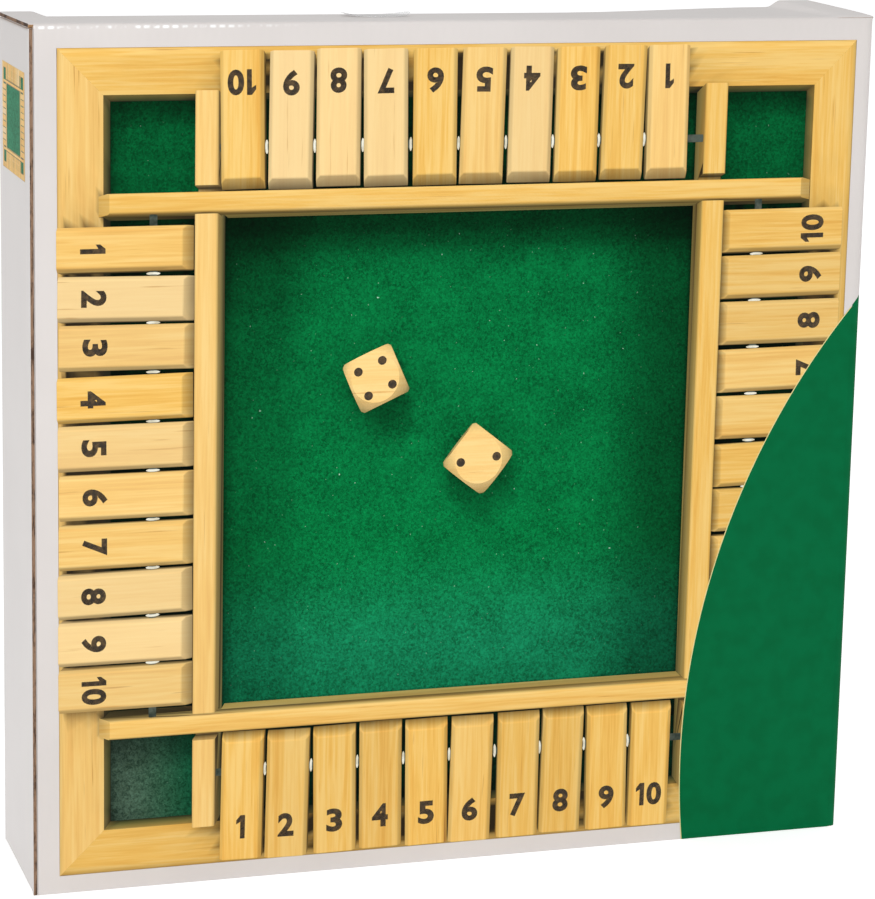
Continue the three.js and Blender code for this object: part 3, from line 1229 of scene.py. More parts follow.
@dataclass
class Picture:
    """A printed picture of the game: its pieces, lit as in a studio and pressed flat on the board.

    Values in fours go from the bottom side on round to the right. A zone is a factor and its soft
    steps, each an axis, a start and a signed run in millimetres.
    """

    game: Game
    place: Matrix
    scale: float
    body: str
    name: str
    fine: bool
    relief: float = 0.10 * MM
    lift: float = 0.015 * MM
    eye: Vector = field(default_factory=lambda: Vector((-15.0, 25.0, 600.0)) * MM)
    mitre_gap: float = 0.005 * MM
    tile_width: float = 0.93
    tile_trim: float = 1.0 * MM
    pitch_share: float = 0.965
    rail_edge: float = 1.3 * MM
    washer: float = 2.7 * MM
    pulls: tuple = (3.2 * MM, 5.1 * MM, 3.2 * MM, 1.9 * MM)
    ink_shifts: tuple = (1.3 * MM, 0.8 * MM, 0.0, 1.8 * MM)
    rail_places: tuple = ((0.74, 2.2 * MM), (0.93, 2.4 * MM), (0.78, 2.0 * MM), (0.9, 0.2 * MM))
    drifts: tuple = (-2.8 * MM, 0.2 * MM, 4.4 * MM, 0.2 * MM)
    tones: tuple = (0.88, 0.9, 0.9, 0.93)
    pales: tuple = (-0.5, 0.0, -0.3, 0.25)
    rail_tones: tuple = (0.95, 0.93, 0.91, 0.96)
    rail_pales: tuple = (0.1, -0.15, -0.4, 0.3)
    tile_tones: tuple = (0.93, 0.89, 0.96, 0.94)
    tile_pales: tuple = ((-1.0, 0.1), (-0.9, 0.4), (-0.7, 1.0), (-0.5, 1.0))
    overhang: float = 2.2 * MM
    throws: tuple = ((-34.0, 30.0, 24.0, 90, "Y"), (6.0, -2.0, -38.0, -90, "X"))
    recess_shades: tuple = (0.6, 0.7)
    shades: tuple = ((0.5, (1, 67, 24)), (0.45, (0, 52, 24)), (0.22, (0, -58, -16), (0, -92, 8)),
                     (0.36, (0, -52, -24), (1, 40, 28)))
    cool: tuple = (0.5, (1, -30, -50))
    haze: tuple = (0.58, (0, -100, -36), (1, -80, -30))
    small_felt: tuple = (1.1, 0.6, 0.1)
    bulge: float = 0.043
    reach: float = 45.0 * MM
    sky_rays: int = 14
    lamp_rays: int = 8
    sky_gain: float = 0.74
    lamp_gain: float = 0.52
    brightest: float = 1.14
    bounce_gain: float = 0.9

    def __post_init__(self) -> None:
        """Starts the picture's source of chance and its directions of light."""
        self.chance = random.Random(5)
        self.pieces: list[tuple[Piece, float, float, float]] = []
        self.sky, self.lamp = [], []
        for index in range(self.sky_rays):
            share, turn = (index + 0.5) / self.sky_rays, math.pi * (3 - math.sqrt(5)) * index
            flat = math.sqrt(share)
            self.sky.append(Vector((flat * math.cos(turn), flat * math.sin(turn), math.sqrt(1 - share))))
        for index in range(self.lamp_rays):
            wide, turn = (0.12 if index % 2 else 0.26), 2 * math.pi * index / self.lamp_rays
            ray = Vector((-0.15 + wide * math.cos(turn), 0.58 + wide * math.sin(turn), 0.8))
            self.lamp.append(ray.normalized())

    def keep(self, piece: Piece, tone: float, pale: float, *finishes: Material) -> None:
        """Adds a piece to the picture with its tone and paleness, and dresses it in given finishes.

        Args:
            piece: The piece to work on.
            tone: How light it is.
            pale: How pale its wood is.
            *finishes: Materials, or none if it has its own.
        """
        self.pieces.append((piece, tone, self.chance.random(), pale))
        if finishes:
            dress(piece, *finishes)

    def divide(self, piece: Piece, cuts: int, along: Axis) -> None:
        """Splits a piece's long edges, so that shadows can be drawn on it."""
        if self.fine:
            divide(piece, cuts, along)

    def compose_rails(self) -> None:
        """Lays out the frame and the inner rails."""
        game, chance, woods = self.game, self.chance, self.game.palette.printed_wood
        frame_rail = game.frame_rail(0.0, self.mitre_gap)
        over, under = game.inner_rail(True, self.rail_edge), game.inner_rail(False, self.rail_edge)
        if self.fine:
            run = -game.half - game.rail_high.y
            slice_piece(frame_rail, [game.rail_high.y + run * index / 6 for index in range(1, 6)], Axis.Y)
        for rail in (frame_rail, over, under):
            self.divide(rail, 60, Axis.X)
            smooth(rail)
        for turns, side in enumerate(SIDES):
            rail = copy_piece(frame_rail, f"{self.name}_frame_{side}", quarter(turns))
            game.grain(rail, woods, turns)
            self.keep(rail, self.tones[turns] * chance.uniform(0.985, 1.015), self.pales[turns])
        for kind, turns in ((over, 0), (over, 2), (under, 1), (under, 3)):
            rail = copy_piece(kind, f"{self.name}_rail_{turns}", Matrix.Identity(4))
            width, shift = self.rail_places[turns]
            left = 1 - turns
            for vertex in rail.data.vertices:
                vertex.co.y = game.cross_low.y + (vertex.co.y - game.cross_low.y) * width + shift
                if kind is over and vertex.co.x * left < 12 * MM - game.cross_high.x:
                    vertex.co.x -= self.overhang * left
            rail.matrix_world = quarter(turns)
            place_piece(rail)
            game.grain(rail, woods, turns)
            self.keep(rail, self.rail_tones[turns] * chance.uniform(0.985, 1.015), self.rail_pales[turns])
        drop(frame_rail, over, under)

    def compose_floor(self) -> None:
        """Adds the felt, the ground beneath and the four rods with their washers."""
        game, palette = self.game, self.game.palette
        felt = add_block(f"{self.name}_felt", game.felt_low, game.felt_high)
        if self.fine:
            divide_top(felt, 110)
        self.keep(felt, 1.0, 0.0, palette.printed_felt)
        edge = game.half - 1.5 * MM
        ground = add_block(f"{self.name}_ground", (-edge, -edge, 0.0), (edge, edge, MM))
        self.keep(ground, 0.5, 0.0, palette.printed_wood[Axis.X])
        size, place = game.rod_high - game.rod_low, (0.0, *game.rod.yz)
        rod = add_cylinder("rod", 12, size.z / 2, size.x, place, (0.0, math.pi / 2, 0.0))
        smooth(rod)
        washer = add_ball("washer", 20, 12, self.washer, place)
        washer.scale.x = 0.2
        place_piece(washer)
        smooth(washer, 60)
        for turns in range(4):
            pull = shifted(0.0, self.pulls[turns], 0.0)
            copy = copy_piece(rod, f"{self.name}_rod_{turns}", quarter(turns) @ pull)
            self.keep(copy, 0.5, 0.0, palette.rod_print)
            for gap in range(1, TILES):
                move = game.tile_turn(turns, gap + 0.5, self.drifts[turns], self.pitch_share) @ pull
                copy = copy_piece(washer, f"{self.name}_washer_{turns}_{gap}", move)
                self.keep(copy, 1.25, 0.0, palette.washer_print)
        drop(rod, washer)

    def compose_tiles(self) -> None:
        """Adds the forty tiles, each a little askew, with their numbers."""
        game, chance, palette = self.game, self.chance, self.game.palette
        tile = game.plain_tile(self.tile_width)
        for vertex in tile.data.vertices:
            if vertex.co.y < game.tile_low.y + 5 * MM:
                vertex.co.y += self.tile_trim
        self.divide(tile, 9, Axis.Y)
        self.divide(tile, 3, Axis.X)
        smooth(tile, 12)
        digits = [game.digit(number) for number in range(1, TILES + 1)]
        pivot = shifted(0.0, game.rod.y, 0.0)
        for index, side in enumerate(SIDES):
            for number in range(1, TILES + 1):
                shift = self.drifts[index] + chance.uniform(-0.35, 0.35) * MM
                skew = turned(chance.uniform(-0.9, 0.9), "Z")
                slide = shifted(0.0, self.pulls[index] + chance.uniform(-0.5, 0.4) * MM, 0.0)
                move = game.tile_turn(index, number, shift, self.pitch_share)
                move = move @ pivot @ skew @ pivot.inverted() @ slide
                piece = copy_piece(tile, f"{self.name}_tile_{side}_{number}", move)
                self.keep(piece, self.tile_tones[index] * chance.uniform(0.94, 1.06),
                          chance.uniform(*self.tile_pales[index]),
                          palette.printed_wood[Axis.X if index % 2 else Axis.Z])
                if self.fine:
                    stained = copy_piece(digits[number - 1], f"{self.name}_ink_{side}_{number}",
                                         move @ shifted(0.0, self.ink_shifts[index], 0.0))
                    self.keep(stained, 1.0, 0.0, palette.stain)
        drop(tile, *digits)

    def compose_dice(self) -> None:
        """Adds two dice that lie on the felt as thrown."""
        game = self.game
        die = game.die()
        die.data.materials[0] = game.palette.printed_wood[Axis.X]
        rest = game.felt_high.z + (game.lying("die_a")[1].x - game.lying("die_a")[0].x) / 2
        for index, (x, y, spin, tip, axis) in enumerate(self.throws):
            move = shifted(x * MM, y * MM, rest) @ turned(spin, "Z") @ turned(tip, axis)
            self.keep(copy_piece(die, f"{self.name}_die_{index}", move), 1.03, 0.45)
        drop(die)

    def zone(self, place: Vector, factor: float, *steps: tuple) -> float:
        """Returns a zone's factor times its soft steps at a place."""
        return factor * math.prod(rise((place[axis] / MM - start) / run) for axis, start, run in steps)

    def felt_shade(self, place: Vector) -> float:
        """Tells how light the printed felt is at a place.

        Args:
            place: A point on the felt.

        Returns:
            The factor of its light, less below rails and toward the sides.
        """
        if max(abs(place.x), abs(place.y)) > -self.game.cross_high.y:
            return self.recess_shades[place.y > 0]
        edge = math.prod(1.0 - self.zone(place, *shade) for shade in self.shades)
        return edge * (1.0 - place.y) * (1.1 - 24.0 * (place.x + 0.006) ** 2)

    def light(self) -> None:
        """Works out the light on every piece and writes it as the piece's marks."""
        vertices, faces, owners = [], [], []
        for index, (piece, *_) in enumerate(self.pieces):
            start = len(vertices)
            vertices.extend(vertex.co.copy() for vertex in piece.data.vertices)
            for polygon in piece.data.polygons:
                faces.append([start + corner for corner in polygon.vertices])
                owners.append(piece.name.endswith("_felt"))
        tree = BVHTree.FromPolygons(vertices, faces)
        for piece, tone, shift, pale in self.pieces:
            if "_ink_" in piece.name:
                set_tone(piece, 1.0)
                continue
            mesh = piece.data
            marks = mesh.color_attributes.new(TONE, "FLOAT_COLOR", "CORNER")
            normals = mesh.corner_normals
            known: dict[tuple, tuple[float, float]] = {}
            for polygon in mesh.polygons:
                for corner in polygon.loop_indices:
                    vertex = mesh.loops[corner].vertex_index
                    normal, place = normals[corner].vector, mesh.vertices[vertex].co
                    key = (vertex, *(round(value, 1) for value in normal))
                    if key not in known:
                        start = place.lerp(polygon.center, 0.06) + normal * 0.08 * MM
                        known[key] = self.shine(tree, owners, start, normal)
                    bright, bounce = known[key]
                    mark = (tone * bright, shift, pale, bounce)
                    if piece.name.endswith("_felt") and self.fine:
                        mark = (tone * bright * self.felt_shade(place), self.zone(place, *self.cool),
                                self.zone(place, *self.haze), 0.0)
                    elif piece.name.endswith("_felt"):
                        mark = (*self.small_felt, 0.0)
                    marks.data[corner].color = mark

    def shine(self, tree: BVHTree, green: list[bool], start: Vector, normal: Vector) -> tuple[float, float]:
        """Works out how bright a spot is and how much green it takes from the felt.

        Args:
            tree: The game's surfaces.
            green: Whether each surface is felt.
            start: The spot, just off its surface.
            normal: The surface's normal there.

        Returns:
            The brightness and the share of green.
        """
        turn = Axis.Z.unit().rotation_difference(normal)
        open_sky, tint, direct = 0.0, 0, 0.0
        for direction in self.sky:
            ray = turn @ direction
            face = tree.ray_cast(start, ray, self.reach)[2]
            open_sky += 0.5 + 0.5 * max(ray.z, 0.0) if face is None else 0.03
            tint += face is not None and green[face]
        for ray in self.lamp:
            slope = normal.dot(ray)
            if slope > 0 and tree.ray_cast(start, ray, 4 * self.reach)[2] is None:
                direct += slope
        bright = self.sky_gain * open_sky / self.sky_rays + self.lamp_gain * direct / self.lamp_rays
        return min(bright, self.brightest), self.bounce_gain * tint / self.sky_rays

    def spread(self, value: float) -> float:
        """Spreads the picture's middle a little, as the lens does, and scales it."""
        return value * self.scale * (1 + self.bulge * (1 - (value / self.game.half) ** 2))

    def press(self) -> None:
        """Presses every piece flat, as the eye above the board sees it, and brings it to its place."""
        eye, level, top = self.eye, self.game.rail_high.z, self.game.cross_high.z + MM
        for piece, *_ in self.pieces:
            for vertex in piece.data.vertices:
                place = vertex.co
                near = (eye.z - level) / (eye.z - place.z)
                flat = Vector((self.spread(eye.x + (place.x - eye.x) * near),
                               self.spread(eye.y + (place.y - eye.y) * near),
                               self.lift + self.relief * place.z / top))
                vertex.co = self.place @ flat
            piece.data.update()

    def group(self, name: str) -> str:
        """Returns the joined piece that a piece of the picture belongs to, by its name.

        Args:
            name: The piece's name.

        Returns:
            The end of the joined piece's name.
        """
        if not self.fine:
            return "board"
        if "_tile_" in name or "_ink_" in name:
            return "tiles_" + next(side for side in SIDES if f"_{side}_" in name)
        return "dice" if "_die_" in name else "felt" if name.endswith("_felt") else "rails"

    def build(self) -> None:
        """Builds the picture and joins it into a few pieces."""
        self.compose_rails()
        self.compose_floor()
        self.compose_tiles()
        if self.fine:
            self.compose_dice()
        self.light()
        self.press()
        groups: dict[str, list[Piece]] = {}
        for piece, *_ in self.pieces:
            groups.setdefault(self.group(piece.name), []).append(piece)
        for key, members in groups.items():
            piece = join_pieces(members)
            piece.name = f"{self.name}_{key}"
            finish_piece(piece, self.body, "carton_board")


@dataclass
class GreenCorner:
    """The plain green corner of the print, with a thin pale line along its arc."""

    palette: Palette
    points: tuple = ((160.8, 215.0), (110.5, 124.0), (97.5, 0.0))
    line: float = 0.35 * MM
    trim: float = 0.5 * MM
    lift: float = 0.15 * MM
    thickness: float = 0.03 * MM

    def arc(self) -> tuple[Vector, float]:
        """Returns the middle and the radius of the circle through the three points."""
        (ax, ay), (bx, by), (cx, cy) = self.points
        a, b, c = (x * x + y * y for x, y in self.points)
        double = 2 * (ax * (by - cy) + bx * (cy - ay) + cx * (ay - by))
        x = (a * (by - cy) + b * (cy - ay) + c * (ay - by)) / double
        y = (a * (cx - bx) + b * (ax - cx) + c * (bx - ax)) / double
        return Vector((x, y)) * MM, math.hypot(ax - x, ay - y) * MM

    def build(self, low: Vector, high: Vector) -> None:
        """Builds the corner on the front panel, as two thin discs that are trimmed to it.

        Args:
            low: The panel's lowest corner.
            high: The panel's highest corner.
        """
        middle, radius = self.arc()
        discs = (("corner_line", radius, self.lift, high.x - self.trim, self.palette.pale_line),
                 ("corner_field", radius - self.line, self.lift + self.thickness / 2, high.x,
                  self.palette.green))
        for name, size, lift, right, finish in discs:
            disc = add_cylinder(name, 720, size, self.thickness,
                                (middle.x, low.y - lift + self.thickness / 2, middle.y), (math.pi / 2, 0.0, 0.0))
            cut_planes(disc, (((right, 0, 0), (1, 0, 0)), ((0, 0, low.z), (0, 0, -1))), trim=True)
            dress(disc, finish)
            finish_piece(disc, "lid", "carton_board")


# The carton


@dataclass
class Carton:
    """The corrugated carton: tray, front panel, top flap, seal and the paper in its folds."""

    palette: Palette
    board: float = 1.6 * MM
    fold_radius: float = 1.5 * MM
    side_radius: float = 1.2 * MM
    edge_radius: float = 0.6 * MM
    round_edge: float = 1.5 * MM
    round_width: float = 3.4 * MM
    print_top: float = 216.0 * MM
    print_slope: float = 1.2
    liner: float = 0.15 * MM
    liner_end: float = 2.0 * MM
    liner_tip: float = 0.75 * MM
    liner_reach: float = 0.55 * MM
    crease: float = 0.05 * MM
    mitre_inset: float = 0.03 * MM
    raw_depth: float = 0.18 * MM
    gap: float = 0.15 * MM
    sag: float = 3.1 * MM
    left_sag: float = 1.1 * MM
    right_sag: float = 1.4 * MM
    right_lift: float = 1.3 * MM
    shoulder: float = 12.0 * MM
    sag_run: float = 6.0 * MM
    film: float = 0.12 * MM
    seal_radius: float = 13.5 * MM
    seal_x: float = -22.5 * MM
    seal_insets: tuple = (0.25, 0.3, 0.25)
    seal_curl: float = 5.0 * MM
    rim_setback: float = 0.25 * MM
    fold_band: float = 6.0 * MM

    def __post_init__(self) -> None:
        """Reads the carton's sizes from the frame."""
        self.lid_low, self.lid_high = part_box("carton_lid")
        self.flap_low, self.flap_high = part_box("carton_lid_flap")
        self.tray_low, self.tray_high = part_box("carton_tray")
        self.front = self.lid_low.y
        self.top = self.flap_high.z
        self.half = self.lid_high.x
        self.fold = Vector((0.0, self.front, self.top))
        self.panel_left = -self.half + self.board + self.gap
        self.chance = random.Random(3)

    def dip(self, place: Vector) -> float:
        """Tells how far the carton's top has sunk at a place.

        Args:
            place: A point on the top.

        Returns:
            The depth in metres.
        """
        left = rise((place.x + self.half - self.shoulder) / self.sag_run)
        right = rise((self.half - place.x - self.shoulder) / self.sag_run)
        depth = min(max((place.y - self.front) / (self.tray_high.y - self.front), 0.0), 1.0)
        middle = self.sag - (self.sag - self.right_sag) * rise((place.x - 60 * MM) / (90 * MM))
        sunk = (self.left_sag + (middle - self.left_sag) * left) * right * depth**0.8
        return sunk - self.right_lift * (1 - right) * depth**0.5

    def sink(self, piece: Piece, lowest: float) -> None:
        """Lowers what lies above a height by the dip.

        Args:
            piece: The piece to work on.
            lowest: The height.
        """
        for vertex in piece.data.vertices:
            if vertex.co.z > lowest:
                vertex.co.z -= self.dip(vertex.co)
        piece.data.update()

    def bend(self, piece: Piece) -> None:
        """Cuts a board along X, so that it can sag."""
        near = [self.half - self.shoulder - self.sag_run * step / 8 for step in range(9)]
        far = [step * 15 * MM for step in range(4, 10)]
        slice_piece(piece, sorted([-place for place in near] + near + far), Axis.X)

    def raw_end(self, piece: Piece, end: float, axis: Axis, facing: int, length: Axis, cuts: int) -> None:
        """Opens one end of a board, so that the torn medium shows between its liners in slot 2.

        Args:
            piece: The board.
            end: Where the end lies along the axis.
            axis: The axis that the end faces along.
            facing: 1 where the end faces up the axis, -1 where it faces down.
            length: The axis that the end is long along.
            cuts: How many times the raw face is cut, to make it uneven.
        """
        near = 0.01 * MM
        run = [vertex.co[length.value] for vertex in piece.data.vertices]
        low, step = min(run), (max(run) - min(run)) / (cuts + 1)
        select_faces(piece, lambda mid, normal: abs(mid[axis.value] - end) < near
                     and normal[axis.value] * facing > 0.9)
        bpy.ops.mesh.inset(thickness=self.liner, depth=0.0)
        extrude(axis.unit() * -facing * self.raw_depth)
        leave_edit()
        across = ({0, 1, 2} - {axis.value, length.value}).pop()
        skin = [vertex.co[across] for vertex in piece.data.vertices]
        skin_low, skin_high = min(skin) + self.liner * 0.75, max(skin) - self.liner * 0.75
        # Slot 2 is the raw edge's finish: brown paper with painted shade in the hollows of the torn medium.
        paint_faces(piece, 2, lambda mid, normal: skin_low < mid[across] < skin_high
                    and -near < (end - mid[axis.value]) * facing < self.raw_depth + near)
        slice_piece(piece, [low + step * (index + 1 + self.chance.uniform(-0.3, 0.3)) for index in range(cuts)],
                    length)
        for vertex in piece.data.vertices:
            if abs((end - vertex.co[axis.value]) * facing - self.raw_depth) < near:
                vertex.co[axis.value] -= facing * self.chance.random() * self.raw_depth
                vertex.co[across] += self.chance.uniform(-0.4, 0.4) * self.liner

    def mitre(self, panel: Piece, keep: int) -> None:
        """Cuts a panel along the mitre plane at its fold.

        Args:
            panel: The panel to cut.
            keep: 1 keeps the part below and in front of the plane, -1 the part above it.
        """
        normal = Vector((0.0, keep, keep)).normalized()
        cut_planes(panel, [(self.fold - normal * self.mitre_inset, normal)], trim=True)

    def round_fold(self, panel: Piece) -> None:
        """Rounds a panel along its fold."""
        round_edges(panel, self.fold_radius, 6, lambda mid, run: abs(run.x) > 0.9
                    and mid.y < self.front + MM / 2 and mid.z > self.top - MM)

    def lid(self) -> None:
        """Makes the printed front panel, rounded at its fold and at its sides."""
        palette = self.palette
        lid = add_block("front_panel", (self.panel_left, self.front, self.lid_low.z),
                        (self.half, self.front + self.board, self.top))
        self.round_fold(lid)
        for side, radius in ((-1, self.edge_radius), (1, self.round_edge)):
            round_edges(lid, radius, 6, lambda mid, run: abs(run.z) > 0.9 and mid.y < self.front + MM / 2
                        and mid.x * side > 0)
        for vertex in lid.data.vertices:
            inset = self.half - vertex.co.x
            if inset < self.round_edge * 1.01 and vertex.co.y < self.front + self.round_edge * 1.01:
                vertex.co.x = self.half - inset * self.round_width / self.round_edge
        self.mitre(lid, 1)
        slice_piece(lid, [self.top - self.fold_band], Axis.Z)
        corner = self.half - self.round_width
        slope = Vector((-self.print_slope, 0.0, 1.0)).normalized()
        cut_planes(lid, [((corner, 0.0, self.print_top), slope)])
        dress(lid, palette.white, palette.kraft, palette.fold, palette.green)
        paint_faces(lid, 1, lambda mid, normal: normal.y > 0.6)
        # The fold band takes the fold finish, with its painted highlights along the crease.
        paint_faces(lid, 2, lambda mid, normal: normal.y < 0.3 and mid.z > self.top - self.fold_band)
        paint_faces(lid, 3, lambda mid, normal: normal.x > 0.05
                    and mid.z < self.print_top + self.print_slope * (mid.x - corner))
        smooth(lid)
        finish_piece(lid, "lid", "carton_board", "carton_lid")

    def flap(self) -> None:
        """Makes the flap that folds back over the top, raw at its left and right ends."""
        palette = self.palette
        flap = add_block("top_flap", (-self.half, self.front, self.flap_low.z),
                         (self.half, self.flap_high.y, self.top))
        self.round_fold(flap)
        self.mitre(flap, -1)
        raw = FluteEdgeFinish("flap_back_edge", self.flap_low.z, self.board).material()
        dress(flap, palette.white, palette.kraft, palette.crushed_edge_and_shade, raw, palette.fold)
        paint_faces(flap, 1, lambda mid, normal: normal.z < -0.5)
        paint_faces(flap, 3, lambda mid, normal: normal.y > 0.9)
        # The rounded fold takes the fold finish, with its painted highlights along the crease.
        paint_faces(flap, 4, lambda mid, normal: normal.y < -0.05 and normal.z > 0.05)
        for side in (-1, 1):
            self.raw_end(flap, side * self.half, Axis.X, side, Axis.Y, 34)
        self.bend(flap)
        self.sink(flap, 0.0)
        smooth(flap)
        finish_piece(flap, "lid_flap", "carton_board", "carton_lid_flap")

    def fold_liners(self) -> None:
        """Makes the thin paper that still joins the boards at both folds of the front."""
        left, right = self.panel_left + self.gap, self.half - self.liner_end
        strip = add_block("top_fold_liner", (left, -MM, 0.0), (right, MM, MM))
        slice_piece(strip, [0.0], Axis.Y)
        across = Vector((0.0, 1.0, 1.0)).normalized()
        inward = Vector((0.0, 1.0, -1.0)).normalized()
        for vertex in strip.data.vertices:
            side, layer = vertex.co.y / MM, vertex.co.z / MM
            depth = self.liner_tip + self.liner_reach * abs(side) + self.crease * layer * (1.0 - abs(side))
            place = self.fold + inward * depth + across * side * self.crease * (0.5 - 0.2 * layer)
            vertex.co.yz = place.yz
        dress(strip, self.palette.kraft)
        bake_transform(strip)
        LOG.info("%s bends between lid and lid_flap", strip.name)
        under = add_block("bottom_fold_liner", (left, self.front + self.crease, self.crease),
                          (right, self.tray_low.y + self.gap, self.crease + self.liner))
        dress(under, self.palette.kraft)
        finish_piece(under, "carton", "carton_board")

    def tray(self) -> None:
        """Makes the back and the four walls from one block, hollowed from the front."""
        half, low, high, wall = self.half, self.tray_low, self.tray_high, self.board / 2
        tray = add_block("tray", (-half, low.y, low.z), (half, high.y, high.z))
        round_edges(tray, self.fold_radius, 4, lambda mid, run: abs(run.y) < 0.5 and mid.y > high.y - MM)
        round_edges(tray, self.side_radius, 3, lambda mid, run: abs(run.y) > 0.99)
        select_faces(tray, lambda mid, normal: normal.y < -0.9)
        bpy.ops.mesh.inset(thickness=self.board, depth=0.0)
        extrude((0.0, high.y - low.y - self.board, 0.0))
        leave_edit()
        rim = FluteEdgeFinish("tray_rim", high.z - self.board, self.board).material()
        dress(tray, self.palette.white, self.palette.kraft, rim)
        paint_faces(tray, 2, lambda mid, normal: normal.y < -0.9 and mid.y < low.y + MM)
        paint_faces(tray, 1, lambda mid, normal: low.y + MM / 10 < mid.y < high.y - wall
                    and abs(mid.x) < half - wall and wall < mid.z < high.z - wall)
        self.bend(tray)
        slice_piece(tray, [self.front + (high.y - self.front) * step / 8 for step in range(1, 8)], Axis.Y)
        self.sink(tray, high.z - self.board - MM)
        smooth(tray)
        finish_piece(tray, "carton", "carton_board", "carton_tray")

    def wall_rim(self) -> None:
        """Makes the raw front edge of the left wall, beside the front panel."""
        front = self.front + self.rim_setback
        rim = add_block("left_wall_rim", (-self.half, front, self.tray_low.z),
                        (-self.half + self.board, self.tray_low.y, self.tray_high.z))
        dress(rim, self.palette.white, self.palette.kraft, self.palette.crushed_edge_and_shade)
        self.raw_end(rim, front, Axis.Y, -1, Axis.Z, 150)
        finish_piece(rim, "carton", "carton_board")

    def seal(self) -> None:
        """Makes the clear round seal that lies over the flap's back part, with lifted edges."""
        middle = self.flap_high.y - self.seal_radius * 1.25
        seal = add_cylinder("clear_seal", 48, self.seal_radius, self.film,
                            (self.seal_x, middle, self.top + self.film))
        select_faces(seal, lambda mid, normal: abs(normal.z) > 0.9)
        for share in self.seal_insets:
            bpy.ops.mesh.inset(thickness=self.seal_radius * share, depth=0.0)
        leave_edit()
        for vertex in seal.data.vertices:
            away = math.hypot(vertex.co.x - self.seal_x, vertex.co.y - middle) / self.seal_radius
            curl = abs(vertex.co.x - self.seal_x) / self.seal_radius
            vertex.co.z += self.seal_curl * max(away - 0.7, 0.0) * curl**3
        self.sink(seal, 0.0)
        dress(seal, self.palette.film)
        smooth(seal)
        finish_piece(seal, "lid_flap", "carton_board")

    def build(self) -> None:
        """Builds the carton's pieces and dresses the leaflet."""
        self.tray()
        self.wall_rim()
        self.lid()
        self.flap()
        self.seal()
        self.fold_liners()
        dress(bpy.data.objects["rules_leaflet"], self.palette.paper)


# The studio


@dataclass(frozen=True)
class StudioFinish:
    """A plain floor that looks nearly white to the camera and keeps soft shadows."""

    name: str
    color: Color = (0.93, 0.93, 0.93, 1.0)
    glow: float = 0.5

    def material(self) -> Material:
        """Returns the finish as a material."""
        shader = Shader(self.name, Roughness=0.8, Base_Color=self.color, Emission_Color=WHITE)
        path = shader.node("LightPath").outputs
        seen = shader.math("MAXIMUM", path["Is Camera Ray"], path["Is Glossy Ray"])
        seen = shader.math("MAXIMUM", seen, path["Is Transmission Ray"])
        shader.feed(shader.times(seen, self.glow), shader.shader.inputs["Emission Strength"])
        return shader.material


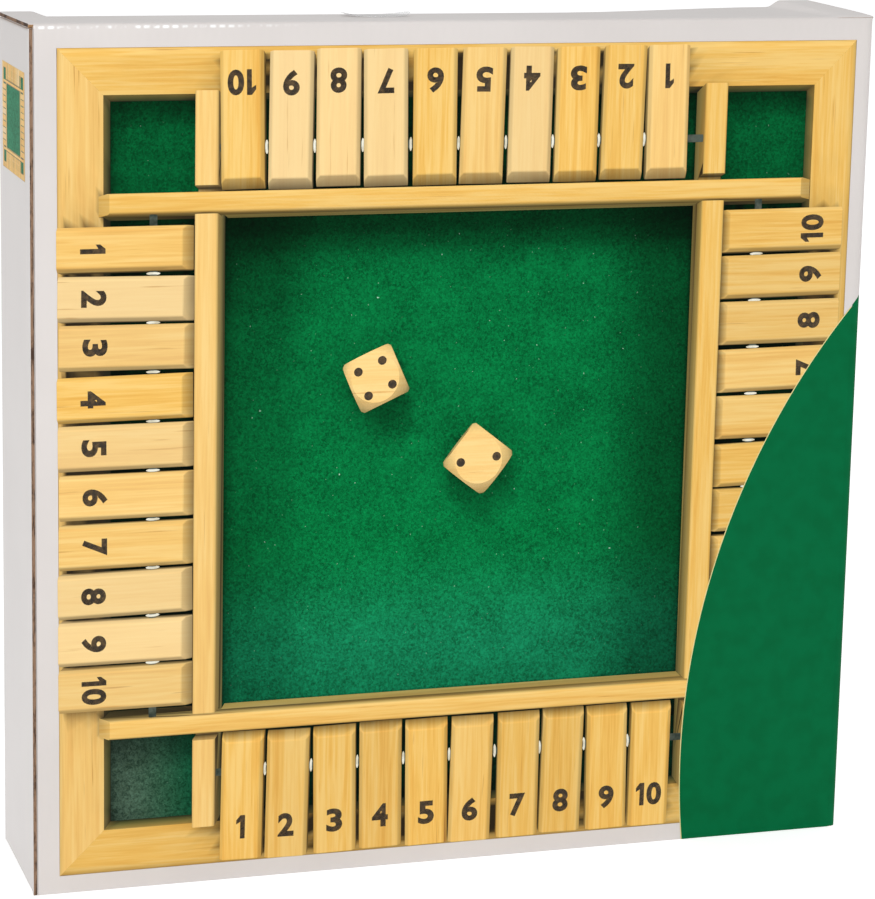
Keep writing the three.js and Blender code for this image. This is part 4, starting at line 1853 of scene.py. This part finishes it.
@dataclass
class Studio:
    """The camera, the floor, the lamps and the world."""

    camera_place: Vector = field(default_factory=lambda: Vector((-361.9, -1142.4, 429.4)) * MM)
    azimuth: float = math.radians(16.798)
    descent: float = math.radians(11.652)
    roll: float = math.radians(1.016)
    lens: float = 125.29
    sensor: float = 36.0
    shift: tuple[float, float] = (0.0498, -0.0682)
    world_light: float = 0.62
    lamp_size: float = 1.6
    lamp_aim: Vector = field(default_factory=lambda: Vector((0.0, 0.0, 0.16)))

    def camera(self) -> None:
        """Makes the camera at the photograph's viewpoint."""
        level = math.cos(self.descent)
        ahead = Vector((math.sin(self.azimuth) * level, math.cos(self.azimuth) * level, -math.sin(self.descent)))
        right = Vector((math.cos(self.azimuth), -math.sin(self.azimuth), 0.0))
        above = right.cross(ahead)
        lean = math.asin(math.sin(self.roll) / above.z)
        right = right * math.cos(lean) + above * math.sin(lean)
        turn = Matrix((right, right.cross(ahead), -ahead)).transposed().to_4x4()
        data = bpy.data.cameras.new("camera")
        data.sensor_fit = "VERTICAL"
        data.sensor_height, data.lens = self.sensor, self.lens
        data.shift_x, data.shift_y = self.shift
        camera = bpy.data.objects.new("camera", data)
        bpy.context.scene.collection.objects.link(camera)
        camera.matrix_world = Matrix.Translation(self.camera_place) @ turn
        bpy.context.scene.camera = camera

    def floor(self) -> None:
        """Makes the pale floor."""
        bpy.ops.object.select_all(action="DESELECT")
        bpy.ops.mesh.primitive_plane_add(size=40.0, location=(0.0, 0.0, -0.1 * MM))
        floor = place_piece(bpy.context.active_object, "floor")
        dress(floor, StudioFinish("studio_floor").material())

    def lamp(self, name: str, place: tuple[float, float, float], power: float) -> None:
        """Adds a square soft lamp that faces the object.

        Args:
            name: The lamp's name.
            place: Where it stands.
            power: Its power in watts.
        """
        data = bpy.data.lights.new(name, "AREA")
        data.size, data.energy = self.lamp_size, power
        lamp = bpy.data.objects.new(name, data)
        bpy.context.scene.collection.objects.link(lamp)
        lamp.location = place
        lamp.rotation_euler = (self.lamp_aim - Vector(place)).to_track_quat("-Z", "Y").to_euler()

    def world(self) -> None:
        """Makes the even world light and its white background."""
        world = bpy.data.worlds.new("world")
        bpy.context.scene.world = world
        world.use_nodes = True
        tree = world.node_tree
        back = tree.nodes["Background"]
        back.inputs["Color"].default_value = WHITE
        strength = tree.nodes.new("ShaderNodeMapRange")
        strength.inputs["To Min"].default_value = self.world_light
        strength.inputs["To Max"].default_value = 1.0
        seen = tree.nodes.new("ShaderNodeLightPath").outputs["Is Camera Ray"]
        tree.links.new(seen, strength.inputs["Value"])
        tree.links.new(strength.outputs["Result"], back.inputs["Strength"])
        bpy.context.scene.view_settings.view_transform = "Standard"

    def build(self) -> None:
        """Builds the studio."""
        self.camera()
        self.floor()
        self.lamp("key", (-0.8, -2.0, 1.15), 25.0)
        self.lamp("back", (0.6, 1.8, 1.8), 5.0)
        self.world()


def main() -> None:
    """Builds the studio, the carton, its print and the game inside it."""
    Studio().build()
    palette = Palette()
    carton = Carton(palette)
    game = Game(palette)
    carton.build()
    game.build()
    front = shifted(1.65 * MM, carton.front, 163.4 * MM) @ turned(90, "X")
    Picture(game, front, 0.991, "lid", "picture", True).build()
    GreenCorner(palette).build(Vector((carton.panel_left, carton.front, carton.lid_low.z)),
                               Vector((carton.half - carton.round_width, carton.front, carton.top)))
    side = (shifted(-carton.half, 0.4 * MM, 290.5 * MM) @ turned(-90, "Z") @ turned(90, "X")
            @ Matrix.Diagonal((1.18, 1.0, 1.0, 1.0)))
    Picture(game, side, 0.126, "carton", "side_picture", False, relief=0.06 * MM).build()


if __name__ == "__main__":
    logging.basicConfig(level=logging.INFO)
    main()
